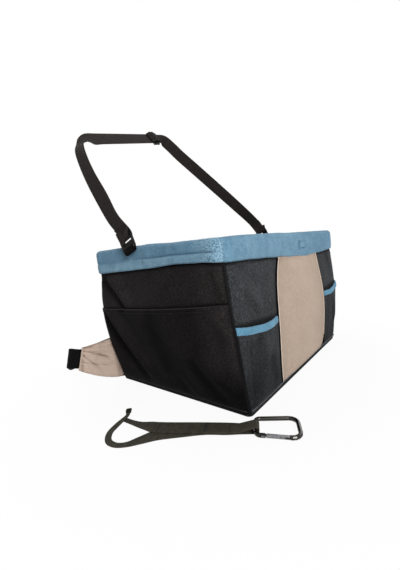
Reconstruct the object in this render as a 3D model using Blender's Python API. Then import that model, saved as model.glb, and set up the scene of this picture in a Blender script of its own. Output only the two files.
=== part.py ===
"""Dog car seat: a padded cloth tub with a headrest strap, a seat-back belt and a loose tether.

X runs across the seat, the front panel faces -Y, the car's seat back is at +Y and Z is up.
The origin is the centre of the underside. Sizes are in metres and angles in degrees.
"""

import math

import bmesh
import bpy
from mathutils import Matrix, Vector

# Tub
rim_width = 0.406
rim_depth = 0.280
tub_height = 0.235
width_taper = 0.054
depth_taper = 0.008
side_bulge = 0.003
front_bulge = 0.004
corner_radius = 0.016
tight_radius = 0.001

# Layers of the walls and floor
air = 0.0003
shell_cloth = 0.0016
pocket_cloth = 0.0014
wall_board = 0.003
floor_board = 0.003
lining = 0.003
band_fleece = 0.003
band_drop = 0.036
band_inner_drop = 0.022
band_roll = 0.003
hoop_wire = 0.006
welt_cord = 0.0024
base_cord = 0.004
base_cord_proud = 0.001

# Front centre panel, its edge cords and the pockets
centre_shift = 0.013
centre_top_half = 0.077
centre_waist_half = 0.100
centre_foot_half = 0.094
edge_cord = 0.003
front_pocket_height = 0.126
front_pocket_inner_height = 0.115
front_pocket_sag = 0.003
binding_height = 0.010
binding_thick = 0.0024
side_pocket_height = 0.155
side_pocket_rear_height = 0.141
side_pocket_sag = 0.003
patch_size = 0.013
patch_side = 0.0018
patch_shift = 0.024
patch_drop = 0.022

# Seat cushion
cushion_thick = 0.042
cushion_crown = 0.012
cushion_pull = 0.005
cushion_clear = 0.002
cushion_corner = 0.030

# Seat-back belt
belt_web = 0.032
web_thick = 0.0014
wing_cloth = 0.0024
wing_root = 0.030
wing_reach = 0.055
wing_height = 0.082
wing_end_height = 0.036
wing_foot = 0.004
wing_bend_share = 0.45
wing_lean = 18.0
belt_overlap = 0.024
belt_loop_depth = 0.158
buckle_width = 0.044
buckle_thick = 0.0106
buckle_body = 0.040
buckle_wall = 0.0022
buckle_end = 0.010
buckle_bar = 0.0036
buckle_bar_thick = 0.0050
belt_tail = 0.026
latch_arm = 0.0048
latch_length = 0.030
buckle_edge = 0.0010

# Headrest strap
strap_web = 0.025
anchor_back = 0.025
anchor_drop = 0.002
strap_lean = 30.0
lock_tilt = 20.0
loop_reach = 0.291
lock_width = 0.031
lock_length = 0.024
lock_thick = 0.0036
lock_rail = 0.0026
lock_bar = 0.0036
lock_round = 0.006
lock_edge = 0.0007
lock_rib = 0.0007
tab_width = 0.022
tail_length = 0.028
slider_length = 0.020
slider_rail = 0.0028
slider_bar = 0.0018
slider_edge = 0.0005
lap_length = 0.030

# Tether
tether_web = 0.022
tether_out = 0.019
tether_ahead = 0.018
tether_turn = -60.0
tether_length = 0.181
hook_length = 0.056
hook_wide = 0.044
hook_wire = 0.0054
hook_corner = 0.0052
hook_wide_corner = 0.010
gate_wire = 0.0048
gate_pin = 0.0016
gate_slot = 0.0022
tip_length = 0.010
tip_width = 0.008
tip_thick = 0.0030

base_width = rim_width - width_taper
base_depth = rim_depth - depth_taper
band_foot = tub_height - band_drop
shell_top = tub_height - band_fleece - 2 * air - hoop_wire
shell_half_width = rim_width / 2 - band_fleece - air
shell_half_depth = rim_depth / 2 - band_fleece - air
board_inset = shell_cloth + air
lining_inset = board_inset + wall_board + air
room_inset = lining_inset + lining
base_inset = base_cord - base_cord_proud + air
board_low = shell_cloth + air
lining_low = board_low + floor_board + air
room_floor = lining_low + lining
shell_low = base_cord + 2 * air
seam_room = welt_cord + 5 * air
wing_outer = rim_width / 2 + wing_reach
tether_side = base_width / 2 + tether_out
tether_front = base_depth / 2 + tether_ahead

compass = {"front": -90.0, "right": 0.0, "rear": 90.0, "left": 180.0}


def clear_scene():
    for thing in list(bpy.data.objects):
        bpy.data.objects.remove(thing, do_unlink=True)


def finish_of(name, colour, roughness, metallic=0.0):
    """A plain surface finish with a colour, a roughness and a metallic value."""
    surface = bpy.data.materials.new(name)
    surface.use_nodes = True
    shader = surface.node_tree.nodes["Principled BSDF"]
    shader.inputs["Base Color"].default_value = (*colour, 1.0)
    shader.inputs["Roughness"].default_value = roughness
    shader.inputs["Metallic"].default_value = metallic
    return surface


def add_object(name, mesh, finish, smooth_angle=35.0):
    thing = bpy.data.objects.new(name, mesh)
    bpy.context.scene.collection.objects.link(thing)
    mesh.materials.append(finish)
    mesh.shade_smooth()
    mesh.set_sharp_from_angle(angle=math.radians(smooth_angle))
    return thing


def mesh_from(bm, name):
    bmesh.ops.recalc_face_normals(bm, faces=bm.faces)
    mesh = bpy.data.meshes.new(name)
    bm.to_mesh(mesh)
    bm.free()
    return mesh


def grid_faces(bm, rows, closed=False):
    """Faces between rows of vertices; a closed grid joins its last column to its first."""
    count = len(rows[0])
    for lower, upper in zip(rows, rows[1:]):
        for i in range(count if closed else count - 1):
            j = (i + 1) % count
            bm.faces.new((lower[i], lower[j], upper[j], upper[i]))


def sheet(name, grid, thickness, finish):
    """A sheet through a grid of points, thickened away from its outer face."""
    bm = bmesh.new()
    rows = [[bm.verts.new(point) for point in line] for line in grid]
    grid_faces(bm, rows)
    mesh = bpy.data.meshes.new(name)
    bm.to_mesh(mesh)
    bm.free()
    thing = add_object(name, mesh, finish)
    shell = thing.modifiers.new("cloth", "SOLIDIFY")
    shell.thickness = thickness
    shell.offset = -1
    shell.use_even_offset = True
    return thing


def sweep(name, sections, finish, closed=False, smooth_angle=35.0):
    """A solid through a list of sections, each a list of points in the same order."""
    bm = bmesh.new()
    rows = [[bm.verts.new(point) for point in section] for section in sections]
    if closed:
        rows.append(rows[0])
    grid_faces(bm, rows, closed=True)
    if not closed:
        bm.faces.new(rows[0])
        bm.faces.new(rows[-1])
    return add_object(name, mesh_from(bm, name), finish, smooth_angle)


def circle(centre, across, upward, radius, sides=8):
    turns = [2 * math.pi * i / sides for i in range(sides)]
    return [centre + radius * (math.cos(t) * across + math.sin(t) * upward) for t in turns]


def smooth_route(stops, steps):
    """Points on a smooth curve through the stops, each a tuple of numbers of any length."""
    route = []
    last = len(stops) - 1
    for i in range(last):
        before, here = stops[max(i - 1, 0)], stops[i]
        ahead, after = stops[i + 1], stops[min(i + 2, last)]
        for k in range(steps):
            t = k / steps
            route.append(tuple(
                0.5 * (2 * b + (c - a) * t + (2 * a - 5 * b + 4 * c - d) * t * t
                       + (3 * b - a - 3 * c + d) * t ** 3)
                for a, b, c, d in zip(before, here, ahead, after)))
    route.append(tuple(stops[last]))
    return route


def ribbon(name, route, width, thickness, finish):
    """Flat webbing along a route of (centre, width direction, width share).

    Its front and back are cut along the same diagonals, so that a twist keeps them parallel.
    """
    centres = [Vector(centre) for centre, _, _ in route]
    sections = []
    for i, (_, across, share) in enumerate(route):
        ahead = centres[min(i + 1, len(centres) - 1)] - centres[max(i - 1, 0)]
        ahead.normalize()
        side = Vector(across)
        side = (side - ahead * side.dot(ahead)).normalized()
        face = ahead.cross(side)
        half = side * width / 2 * share
        skin = face * thickness / 2
        centre = centres[i]
        sections.append([centre - half - skin, centre + half - skin,
                         centre + half + skin, centre - half + skin])
    bm = bmesh.new()
    rows = [[bm.verts.new(point) for point in section] for section in sections]
    for lower, upper in zip(rows, rows[1:]):
        for a, b in ((0, 1), (3, 2), (1, 2), (0, 3)):
            bm.faces.new((lower[a], lower[b], upper[b]))
            bm.faces.new((lower[a], upper[b], upper[a]))
    bm.faces.new(rows[0])
    bm.faces.new(rows[-1])
    return add_object(name, mesh_from(bm, name), finish)


def rounded_outline(low_x, high_x, low_y, high_y, low_radius, high_radius=None, steps=3):
    """An upright oblong outline whose lower and upper corners have their own radii."""
    high_radius = low_radius if high_radius is None else high_radius
    corners = [(high_x - low_radius, low_y + low_radius, low_radius, 270),
               (high_x - high_radius, high_y - high_radius, high_radius, 0),
               (low_x + high_radius, high_y - high_radius, high_radius, 90),
               (low_x + low_radius, low_y + low_radius, low_radius, 180)]
    outline = []
    for x, y, radius, start in corners:
        for k in range(steps + 1):
            turn = math.radians(start + 90 * k / steps)
            outline.append((x + radius * math.cos(turn), y + radius * math.sin(turn)))
    return outline


def pierced_plate(name, outline, holes, low, high, edge, finish):
    """A flat moulding in local X and Y, with holes and softened edges."""
    bm = bmesh.new()
    rims = []
    for loop in [outline, *holes]:
        verts = [bm.verts.new((x, y, low)) for x, y in loop]
        rims += [bm.edges.new(pair) for pair in zip(verts, verts[1:] + verts[:1])]
    filled = bmesh.ops.triangle_fill(bm, edges=rims, use_beauty=True)
    faces = [item for item in filled["geom"] if isinstance(item, bmesh.types.BMFace)]
    raised = bmesh.ops.extrude_face_region(bm, geom=faces)
    lifted = [item for item in raised["geom"] if isinstance(item, bmesh.types.BMVert)]
    bmesh.ops.translate(bm, verts=lifted, vec=(0, 0, high - low))
    bmesh.ops.recalc_face_normals(bm, faces=bm.faces)
    sharp = [item for item in bm.edges if item.calc_face_angle(0) > math.radians(60)
             and abs(item.verts[0].co.z - item.verts[1].co.z) < edge]
    bmesh.ops.bevel(bm, geom=sharp, offset=edge, segments=2, profile=0.5, affect="EDGES")
    return add_object(name, mesh_from(bm, name), finish)


def cut(thing, cutter, operation="DIFFERENCE"):
    """Cut or join with a second shape, which stays as a hidden guide."""
    cutter.hide_render = True
    cutter.display_type = "WIRE"
    step = thing.modifiers.new(cutter.name, "BOOLEAN")
    step.operation = operation
    step.object = cutter
    step.solver = "EXACT"


def block(name, low, high, finish):
    """A plain box between two corners."""
    sections = [[Vector((low[0], low[1], z)), Vector((high[0], low[1], z)),
                 Vector((high[0], high[1], z)), Vector((low[0], high[1], z))]
                for z in (low[2], high[2])]
    return sweep(name, sections, finish)


def carry(thing, parent):
    thing.parent = parent
    return thing


def pivot(name, place, turn=(0, 0, 0)):
    """An empty on a joint's axis, which carries the pieces that move about it."""
    empty = bpy.data.objects.new(name, None)
    bpy.context.scene.collection.objects.link(empty)
    empty.location = place
    empty.rotation_euler = [math.radians(angle) for angle in turn]
    return empty


# Outer form of the tub

def reach(z, base_half, rim_half, bulge):
    """How far a wall stands from the middle at height z; the stretch under the band is upright."""
    share = min(1.0, z / band_foot)
    return (base_half + (rim_half - base_half) * math.sin(math.pi / 2 * share)
            + bulge * math.sin(math.pi * share) ** 2)


def wall_halves(side, z):
    """Half the wall's length, and its distance from the middle, at height z."""
    across = reach(z, base_width / 2, shell_half_width, side_bulge)
    deep = reach(z, base_depth / 2, shell_half_depth, front_bulge)
    return (across, deep) if side in ("front", "rear") else (deep, across)


def straight_half(side, z):
    return wall_halves(side, z)[0] - corner_radius


def on_wall(side, along, z, inset):
    """A point on a wall, `along` from its middle round to the corner, `inset` in from the cloth."""
    half_along, half_out = wall_halves(side, z)
    centre = max(corner_radius, inset + tight_radius)
    turn = max(0.0, abs(along) - (half_along - corner_radius)) / corner_radius
    u = min(abs(along), half_along - centre) + (centre - inset) * math.sin(turn)
    w = half_out - centre + (centre - inset) * math.cos(turn)
    u = math.copysign(u, along)
    heading = math.radians(compass[side])
    outward = Vector((math.cos(heading), math.sin(heading), 0))
    sideways = Vector((-math.sin(heading), math.cos(heading), 0))
    return outward * w + sideways * u + Vector((0, 0, z))


def wall_stops(side, z, seam, spans=4):
    """Places along a whole wall, from the middle of one corner to the middle of the next."""
    straight = straight_half(side, z)
    inner = [straight * (2 * i / spans - 1) for i in range(spans + 1)]
    bend = corner_stops(straight, seam)
    return [*(-place for place in reversed(bend)), *inner, *bend]


def corner_stops(straight, seam):
    """Places round half a corner, at the same turns for every piece, up to the seam."""
    half_arc = corner_radius * math.pi / 4
    return [straight + half_arc / 3, straight + half_arc * 2 / 3, straight + half_arc - seam / 2]


def wall_piece(name, side, stops, low, top, rows, inset, thickness, finish):
    """Cloth or board that follows a wall; low and top give its edges at a share of its length."""
    places = stops(shell_low)
    grid = []
    for r in range(rows + 1):
        line = []
        for i, place in enumerate(places):
            share = (place - places[0]) / (places[-1] - places[0])
            z = low(share) + (top(share) - low(share)) * r / rows
            line.append(on_wall(side, stops(z)[i], z, inset))
        grid.append(line)
    return sheet(name, grid, thickness, finish)


def ring_sections(section, spans=1):
    """One section of (inset, height) points at each place round the whole tub."""
    sections = []
    for side in compass:
        for along in wall_stops(side, band_foot, 0, spans)[:-1]:
            sections.append([on_wall(side, along, z, inset) for inset, z in section])
    return sections


def level_ring(z, inset, spans=1):
    ring = []
    for side in compass:
        for along in wall_stops(side, z, 0, spans)[:-1]:
            ring.append(on_wall(side, along, z, inset))
    return ring


def level_plate(name, z, thickness, inset, finish):
    """A flat floor piece cut to the tub's outline."""
    outline = [(point.x, point.y) for point in level_ring(z, inset)]
    bottom = [Vector((x, y, z)) for x, y in outline]
    top = [Vector((x, y, z + thickness)) for x, y in outline]
    return sweep(name, [bottom, top], finish)


# Tub shell, boards, lining and floor

def make_shell(cloth):
    for side in compass:
        wall_piece(f"outer_panel_{side}", side, lambda z, side=side: wall_stops(side, z, seam_room),
                   lambda share: shell_low, lambda share: shell_top, 9, 0, shell_cloth, cloth)


def cord_between(name, centres, out, radius, sides, finish):
    """A round cord along a list of centres; `out` gives a direction square to it at each."""
    sections = []
    for i, centre in enumerate(centres):
        ahead = centres[min(i + 1, len(centres) - 1)] - centres[max(i - 1, 0)]
        across = out[i].normalized()
        sections.append(circle(centre, across, across.cross(ahead.normalized()), radius, sides))
    return sweep(name, sections, finish)


def make_corner_welts(cord):
    """A cord in each corner seam, between two wall panels."""
    heights = [shell_low + (band_foot - air - shell_low) * i / 6 for i in range(7)]
    for side, name in zip(compass, ("front_right", "rear_right", "rear_left", "front_left")):
        centres, out = [], []
        for z in heights:
            end = straight_half(side, z) + corner_radius * math.pi / 4
            centres.append(on_wall(side, end, z, shell_cloth / 2))
            out.append(on_wall(side, end, z, 0) - centres[-1])
        cord_between(f"corner_welt_{name}", centres, out, welt_cord / 2, 6, cord)


def make_boards(board):
    for side in compass:
        gap_at_corner = corner_radius

        def stops(z, side=side, gap=gap_at_corner):
            half = straight_half(side, z) - gap
            return [-half, 0, half]

        wall_piece(f"wall_board_{side}", side, stops, lambda share: lining_low,
                   lambda share: shell_top, 9, board_inset, wall_board, board)
    level_plate("base_board", board_low, floor_board, base_inset, board)


def make_floor(cloth, cord):
    level_plate("base_cover", 0, shell_cloth, base_inset, cloth)
    middle = base_cord / 2 + air
    inset = base_cord / 2 - base_cord_proud
    turns = [2 * math.pi * i / 6 for i in range(6)]
    section = [(inset + base_cord / 2 * math.cos(t), middle + base_cord / 2 * math.sin(t))
               for t in turns]
    sections = []
    for side in compass:
        for along in wall_stops(side, 0, 0, 1)[:-1]:
            sections.append([on_wall(side, along, middle, place) + Vector((0, 0, z - middle))
                             for place, z in section])
    sweep("base_piping", sections, cord, closed=True)


def make_lining(fleece):
    """The fleece lining: four walls and a floor in one piece, open at the top."""
    bm = bmesh.new()
    levels = [lining_low + (shell_top - lining_low) * i / 9 for i in range(10)]
    rows = [[bm.verts.new(point) for point in level_ring(z, lining_inset)] for z in levels]
    grid_faces(bm, rows, closed=True)
    bm.faces.new(list(reversed(rows[0])))
    mesh = bpy.data.meshes.new("fleece_lining")
    bm.to_mesh(mesh)
    bm.free()
    thing = add_object("fleece_lining", mesh, fleece)
    shell = thing.modifiers.new("fleece", "SOLIDIFY")
    shell.thickness = lining
    shell.offset = -1
    shell.use_even_offset = True


def band_section():
    """The fleece band's cross-section: an outer leg, a rolled top over the hoop, an inner leg."""
    outer = -(air + band_fleece)
    inner = room_inset + air + band_fleece
    inner_foot = tub_height - band_inner_drop
    arc = [math.radians(30 * k) for k in range(4)]
    section = [(outer, band_foot)]
    section += [(outer + band_roll * (1 - math.cos(t)), tub_height - band_roll * (1 - math.sin(t)))
                for t in arc]
    section += [(inner - band_roll * (1 - math.sin(t)), tub_height - band_roll * (1 - math.cos(t)))
                for t in arc]
    section += [(inner, inner_foot), (inner - band_fleece, inner_foot),
                (inner - band_fleece, tub_height - band_fleece),
                (outer + band_fleece, tub_height - band_fleece), (outer + band_fleece, band_foot)]
    return section


def make_band(fleece):
    section = band_section()
    for side in compass:
        stops = wall_stops(side, band_foot, air, 2)
        sections = [[on_wall(side, along, max(z, band_foot), inset) for inset, z in section]
                    for along in stops]
        sweep(f"rim_band_{side}", sections, fleece)


def make_hoop(steel):
    inset = (room_inset - band_fleece) / 2 + band_fleece / 2
    height = tub_height - band_fleece - air - hoop_wire / 2
    turns = [2 * math.pi * i / 8 for i in range(8)]
    section = [(inset + hoop_wire / 2 * math.cos(t), height + hoop_wire / 2 * math.sin(t))
               for t in turns]
    sweep("rim_hoop", ring_sections(section), steel, closed=True)


def make_patch(fleece):
    """A small square of fleece sewn on the front of the band, plain."""
    face = rim_depth / 2 + air
    middle = tub_height - patch_drop
    outline = rounded_outline(patch_shift - patch_size, patch_shift + patch_size,
                              middle - patch_size / 2, middle + patch_size / 2, patch_side)
    thing = pierced_plate("band_patch", outline, [], 0, patch_side, patch_side / 6, fleece)
    thing.matrix_world = Matrix.Translation((0, -face, 0)) @ Matrix.Rotation(math.pi / 2, 4, "X")


# Front centre panel, pockets and bindings

def centre_edge(z, hand):
    """Where the centre panel's edge runs at height z: narrow at the top, full below the middle."""
    share = min(1.0, max(0.0, (z - shell_low) / (band_foot - shell_low)))
    swell = math.sin(math.pi * (1 - share) ** 0.8)
    straight = centre_foot_half + (centre_top_half - centre_foot_half) * share
    middle = (centre_foot_half + centre_top_half) / 2
    return centre_shift + hand * (straight + (centre_waist_half - middle) * swell)


def make_centre_panel(cloth, cord):
    def stops(z):
        left, right = centre_edge(z, -1), centre_edge(z, 1)
        return [left + (right - left) * i / 6 for i in range(7)]

    wall_piece("front_centre_panel", "front", stops, lambda share: shell_low,
               lambda share: band_foot - air, 8, -(air + shell_cloth), shell_cloth, cloth)
    for name, hand in (("left", -1), ("right", 1)):
        centres = []
        for i in range(9):
            z = shell_low + edge_cord / 2 + (band_foot - air - edge_cord - shell_low) * i / 8
            along = centre_edge(z, hand) + hand * (edge_cord / 2 + air)
            centres.append(on_wall("front", along, z, -(air + edge_cord / 2)))
        cord_between(f"centre_piping_{name}", centres, [Vector((0, -1, 0))] * len(centres),
                     edge_cord / 2, 6, cord)


def front_pocket_stops(hand):
    def stops(z):
        straight = straight_half("front", z)
        inner = abs(centre_edge(z, hand)) + edge_cord + 2 * air
        spans = [inner + (straight - inner) * i / 4 for i in range(5)]
        places = [*spans, *corner_stops(straight, seam_room)]
        return places if hand > 0 else [-place for place in reversed(places)]

    return stops


def front_pocket_top(hand):
    def top(share):
        outward = share if hand > 0 else 1 - share
        rise = front_pocket_inner_height + (front_pocket_height - front_pocket_inner_height) * outward
        return rise - front_pocket_sag * math.sin(math.pi * outward)

    return top


def side_pocket_top(side):
    def top(share):
        rearward = share if side == "right" else 1 - share
        rise = side_pocket_height + (side_pocket_rear_height - side_pocket_height) * rearward
        return rise - side_pocket_sag * math.sin(math.pi * rearward)

    return top


def make_pockets(cloth, trim):
    for name, hand in (("left", -1), ("right", 1)):
        top = front_pocket_top(hand)
        wall_piece(f"front_pocket_{name}", "front", front_pocket_stops(hand),
                   lambda share: shell_low, lambda share, top=top: top(share) - binding_height - air,
                   7, -(air + pocket_cloth), pocket_cloth, cloth)
        wall_piece(f"pocket_binding_{name}", "front", front_pocket_stops(hand),
                   lambda share, top=top: top(share) - binding_height, top,
                   1, -(air + binding_thick), binding_thick, trim)
    for side in ("left", "right"):
        wall_piece(f"side_pocket_{side}", side,
                   lambda z, side=side: wall_stops(side, z, seam_room),
                   lambda share: shell_low, side_pocket_top(side),
                   8, -(air + pocket_cloth), pocket_cloth, cloth)


# Seat cushion

def make_cushion(fleece):
    """A crowned pad whose sides draw in between its corners, flat where it lies on the floor."""
    inset = room_inset + cushion_clear
    profile_shares = [(0.86, 0.0), (0.95, 0.06), (0.99, 0.24), (1.0, 0.45), (0.985, 0.68),
                      (0.94, 0.88), (0.84, 1.0), (0.62, 1.0), (0.34, 1.0)]
    half_x = wall_halves("front", room_floor)[0] - inset
    half_y = wall_halves("left", room_floor)[0] - inset
    low = room_floor + air
    outline = rounded_outline(-half_x, half_x, -half_y, half_y, cushion_corner, steps=4)
    ring = []
    for (x, y), (next_x, next_y) in zip(outline, outline[1:] + outline[:1]):
        ring.append((x, y))
        if math.hypot(next_x - x, next_y - y) > 2 * cushion_corner:
            for k in (1, 2, 3, 4):
                ring.append((x + (next_x - x) * k / 5, y + (next_y - y) * k / 5))
    bm = bmesh.new()
    rows = []
    for out, up in profile_shares:
        line = []
        for x, y in ring:
            pull_x = cushion_pull * (1 - (y / half_y) ** 2) * (abs(x) / half_x) ** 8
            pull_y = cushion_pull * (1 - (x / half_x) ** 2) * (abs(y) / half_y) ** 8
            px = x * out - math.copysign(pull_x, x)
            py = y * out - math.copysign(pull_y, y)
            crown = cushion_crown * math.cos(math.pi / 2 * px / half_x) * math.cos(
                math.pi / 2 * py / half_y) if up == 1.0 else 0.0
            line.append(bm.verts.new((px, py, low + cushion_thick * up + crown)))
        rows.append(line)
    grid_faces(bm, rows, closed=True)
    bm.faces.new(list(reversed(rows[0])))
    top = bm.verts.new((0, 0, low + cushion_thick + cushion_crown))
    for i, vert in enumerate(rows[-1]):
        bm.faces.new((vert, rows[-1][(i + 1) % len(rows[-1])], top))
    add_object("seat_cushion", mesh_from(bm, "seat_cushion"), fleece, 80.0)


# Seat-back belt: wings, webbing and a side-release buckle

def wing_edges(x):
    """The wing's lower and upper edge at a distance x from the middle."""
    root = base_width / 2
    share = min(1.0, max(0.0, (x - root) / (wing_outer - root)))
    lower_end = wing_height - wing_end_height
    low = wing_foot + (lower_end - wing_foot) * (share * wing_bend_share + share ** 2 * (1 - wing_bend_share))
    return low, wing_height - air * share


def wall_back(z):
    return reach(z, base_depth / 2, shell_half_depth, front_bulge)


def wing_plane():
    """Where the flat outer stretch of a wing has its back face."""
    return wall_back(min(wing_height, band_foot / 2)) + air + wing_cloth


def wing_end():
    """How far out the middle of a wing's leaning end is."""
    return wing_outer - math.tan(math.radians(wing_lean)) * wing_end_height / 2


def make_wings(cloth):
    """Cloth flaps sewn to the rear wall, which follow it at the root and are flat further out."""
    for name, hand in (("left", -1), ("right", 1)):
        start = base_width / 2 - corner_radius - wing_root
        lean = math.radians(wing_lean)
        flat = wing_end() - belt_overlap - math.sin(lean) * belt_web / 2 - wing_cloth
        lower_end = wing_height - wing_end_height
        grid = []
        for r in range(5):
            line = []
            for i in range(10):
                x = start + (wing_outer - start) * i / 9
                low, high = wing_edges(x)
                z = low + (high - low) * r / 4
                share = min(1.0, (x - start) / (flat - start))
                deep = wall_back(z) + air + wing_cloth
                y = deep + (wing_plane() - deep) * share
                x -= math.tan(lean) * max(0.0, z - lower_end) * (i / 9) ** 2
                line.append(Vector((hand * x, y, z)))
            grid.append(line[::-1] if hand > 0 else line)
        sheet(f"belt_wing_{name}", grid, wing_cloth, cloth)


def wrap_turns(start, finish, steps=6):
    return [math.radians(start + (finish - start) * k / steps) for k in range(steps + 1)]


def belt_bar_place():
    """Distance from the buckle's middle to the middle of either webbing bar."""
    return buckle_body / 2 + buckle_end + buckle_bar / 2


def belt_wrap_radius():
    return math.hypot(buckle_bar, buckle_bar_thick) / 2 + air + web_thick / 2


def belt_route(hand):
    """From the wing's back face, round behind it, along the floor and round the buckle's bar."""
    top_z = wing_height - wing_end_height / 2
    floor_z = belt_web / 2 + air
    buckle_z = buckle_width / 2 + air
    start_y = belt_start()
    deep = belt_depth()
    back = deep + belt_wrap_radius()
    drop = top_z - floor_z
    bar = belt_bar_place()
    lean = math.radians(wing_lean)
    end = wing_end()
    stops = [(end - belt_overlap * math.cos(lean), start_y, top_z - belt_overlap * math.sin(lean), 1),
             (end - air, start_y, top_z, 1),
             (end + belt_web * 0.12, start_y, top_z + belt_web * 0.04, 1),
             (end + belt_web * 0.34, start_y + belt_web * 0.5, top_z + belt_web * 0.08, 0.8),
             (end + belt_web * 0.02, start_y + belt_web * 1.3, top_z - drop * 0.15, 0.4),
             (end - belt_web * 0.75, deep - belt_loop_depth * 0.42, top_z - drop * 0.6, 0.1),
             (end - belt_web * 1.9, deep - belt_loop_depth * 0.12, floor_z + drop * 0.06, 0),
             (end - belt_web * 3.2, back, floor_z, 0),
             (bar + belt_web * 1.2, back, buckle_z - belt_web * 0.03, 0),
             (bar + belt_web * 0.5, back, buckle_z, 0),
             (bar, back, buckle_z, 0)]
    route = smooth_route(stops, 4)
    radius = belt_wrap_radius()
    for turn in wrap_turns(90, 270)[1:]:
        route.append((bar + radius * math.cos(turn), deep + radius * math.sin(turn), buckle_z, 0))
    route.append((bar + belt_tail / 2, deep - radius, buckle_z, 0))
    route.append((bar + belt_tail, deep - radius, buckle_z, 0))
    return [((hand * x, y, z), (-hand * math.sin(lean * share), 0, math.cos(lean * share)), 1.0)
            for x, y, z, share in route]


def belt_start():
    """Where the webbing's middle lies on the wing's back face."""
    return wing_plane() + air + web_thick / 2


def belt_depth():
    return belt_start() + belt_loop_depth


def make_female(plastic):
    """The socket half: two plates joined at the back and open at the sides for the latch arms."""
    end = -buckle_end - buckle_bar
    outline = rounded_outline(end, buckle_body, -buckle_width / 2, buckle_width / 2,
                              buckle_width / 8)
    slot_half = belt_web / 2 + 2 * air
    slot = rounded_outline(end + buckle_bar, -buckle_wall, -slot_half, slot_half, web_thick / 2)
    shell = pierced_plate("buckle_socket", outline, [slot], -buckle_thick / 2, buckle_thick / 2,
                          buckle_edge, plastic)
    room = buckle_thick / 2 - buckle_wall
    hollows = [("socket_room", (buckle_wall, -buckle_width, -room),
                (buckle_body + buckle_end, buckle_width, room)),
               ("socket_tail_top", (end - buckle_bar, -buckle_width, buckle_bar_thick / 2),
                (-buckle_wall, buckle_width, buckle_thick)),
               ("socket_tail_back", (end - buckle_bar, -buckle_width, -buckle_thick),
                (-buckle_wall, buckle_width, -buckle_bar_thick / 2))]
    for name, low, high in hollows:
        cut(shell, carry(block(name, low, high, plastic), shell))
    return shell


def arm_outline(hand, start, length):
    """A latch arm: a slim stem that swells to a thumb pad and a hooked tip."""
    stem = buckle_width / 2 - latch_arm * 1.9
    pad = buckle_width / 2 - air
    inner = [(start, stem), (start - length * 0.55, stem + latch_arm * 0.1),
             (start - length * 0.9, stem + latch_arm * 0.55), (start - length, stem + latch_arm)]
    outer = [(start - length * 0.98, stem + latch_arm * 1.35), (start - length * 0.86, pad),
             (start - length * 0.62, pad), (start - length * 0.45, stem + latch_arm * 1.15),
             (start, stem + latch_arm)]
    outline = inner + outer
    return [(x, hand * y) for x, y in outline]


def make_male(plastic):
    """The plug half: a webbing bar, a shoulder, two latch arms and a middle tongue, in one."""
    length = buckle_body
    shoulder = length + air
    far = shoulder + buckle_end + buckle_bar
    half = buckle_width / 2
    thick = buckle_bar_thick / 2
    arms = [point for point in arm_outline(1, shoulder, latch_length)]
    mirrored = [point for point in reversed(arm_outline(-1, shoulder, latch_length))]
    tongue = [(shoulder, -latch_arm / 2), (shoulder - latch_length * 0.8, -latch_arm / 2),
              (shoulder - latch_length * 0.86, 0),
              (shoulder - latch_length * 0.8, latch_arm / 2), (shoulder, latch_arm / 2)]
    outline = [(far, -half + half / 4), (far, half - half / 4), (far - half / 4, half),
               (shoulder, half), *reversed(arms), *reversed(tongue), *reversed(mirrored),
               (shoulder, -half), (far - half / 4, -half)]
    slot_half = belt_web / 2 + 2 * air
    slot = rounded_outline(shoulder + buckle_wall, far - buckle_bar, -slot_half, slot_half,
                           web_thick / 2)
    return pierced_plate("buckle_plug", outline, [slot], -thick, thick, buckle_edge / 3, plastic)


def make_belt(webbing, plastic):
    stand = Matrix.Translation((-buckle_body / 2, belt_depth(), buckle_width / 2 + air))
    turn = Matrix.Rotation(math.pi / 2, 4, "X")
    make_female(plastic).matrix_world = stand @ turn
    make_male(plastic).matrix_world = stand @ turn
    for name, hand in (("left", -1), ("right", 1)):
        ribbon(f"belt_webbing_{name}", belt_route(hand), belt_web, web_thick, webbing)


# Headrest strap: a loop of webbing between two ladder locks, with a slider

# Places round the loop: across as a share of half the loop's width, up as a share of its reach,
# and the webbing's turn out of the loop's plane as a share of a quarter turn. It turns the same way
# all round the loop, by half a turn in all.
left_leg_shares = [(-1.006, 0.20, 1.04), (-1.012, 0.342, 1.14), (-1.018, 0.482, 1.08),
                   (-1.006, 0.612, 1.09), (-0.98, 0.706, 1.19), (-0.935, 0.752, 1.42),
                   (-0.89, 0.783, 1.72), (-0.83, 0.803, 1.94)]
right_leg_shares = [(0.19, 0.985, 2.46), (0.25, 0.928, 2.54), (0.312, 0.854, 2.57),
                    (0.43, 0.745, 2.63), (0.63, 0.56, 2.71), (0.84, 0.36, 2.83),
                    (0.99, 0.205, 2.97)]

# The straight top run: its two ends, the places on it, and its even turn.
run_end_shares = [(-0.72, 0.828), (0.14, 1.007)]
run_place_shares = [-0.72, -0.45, -0.116, -0.04, 0.03, 0.095, 0.12]
run_twist_share = 2.004
slider_place_share = 0.02

wrap_radius = math.hypot(lock_thick, lock_bar) / 2 + air + web_thick / 2
lock_side = rim_width / 2 + air + wrap_radius + web_thick / 2
pivot_z = tub_height - anchor_drop


def loop_facing():
    """The direction square to the loop's plane, towards the back."""
    lean = math.radians(strap_lean)
    return Vector((0, math.cos(lean), -math.sin(lean)))


def loop_point(across, up):
    lean = math.radians(strap_lean)
    along = up * loop_reach
    return Vector((across * lock_side, along * math.sin(lean), along * math.cos(lean)))


def width_direction(ahead, twist_share):
    """The webbing's width direction: out of the loop, or turned towards the back by its twist."""
    facing = loop_facing()
    twist = math.pi / 2 * twist_share
    return math.cos(twist) * facing.cross(ahead.normalized()) + math.sin(twist) * facing


def run_place(across):
    """How far up the loop the straight top run passes at a place across it."""
    (start, low), (end, high) = run_end_shares
    return across, low + (high - low) * (across - start) / (end - start)


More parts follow.
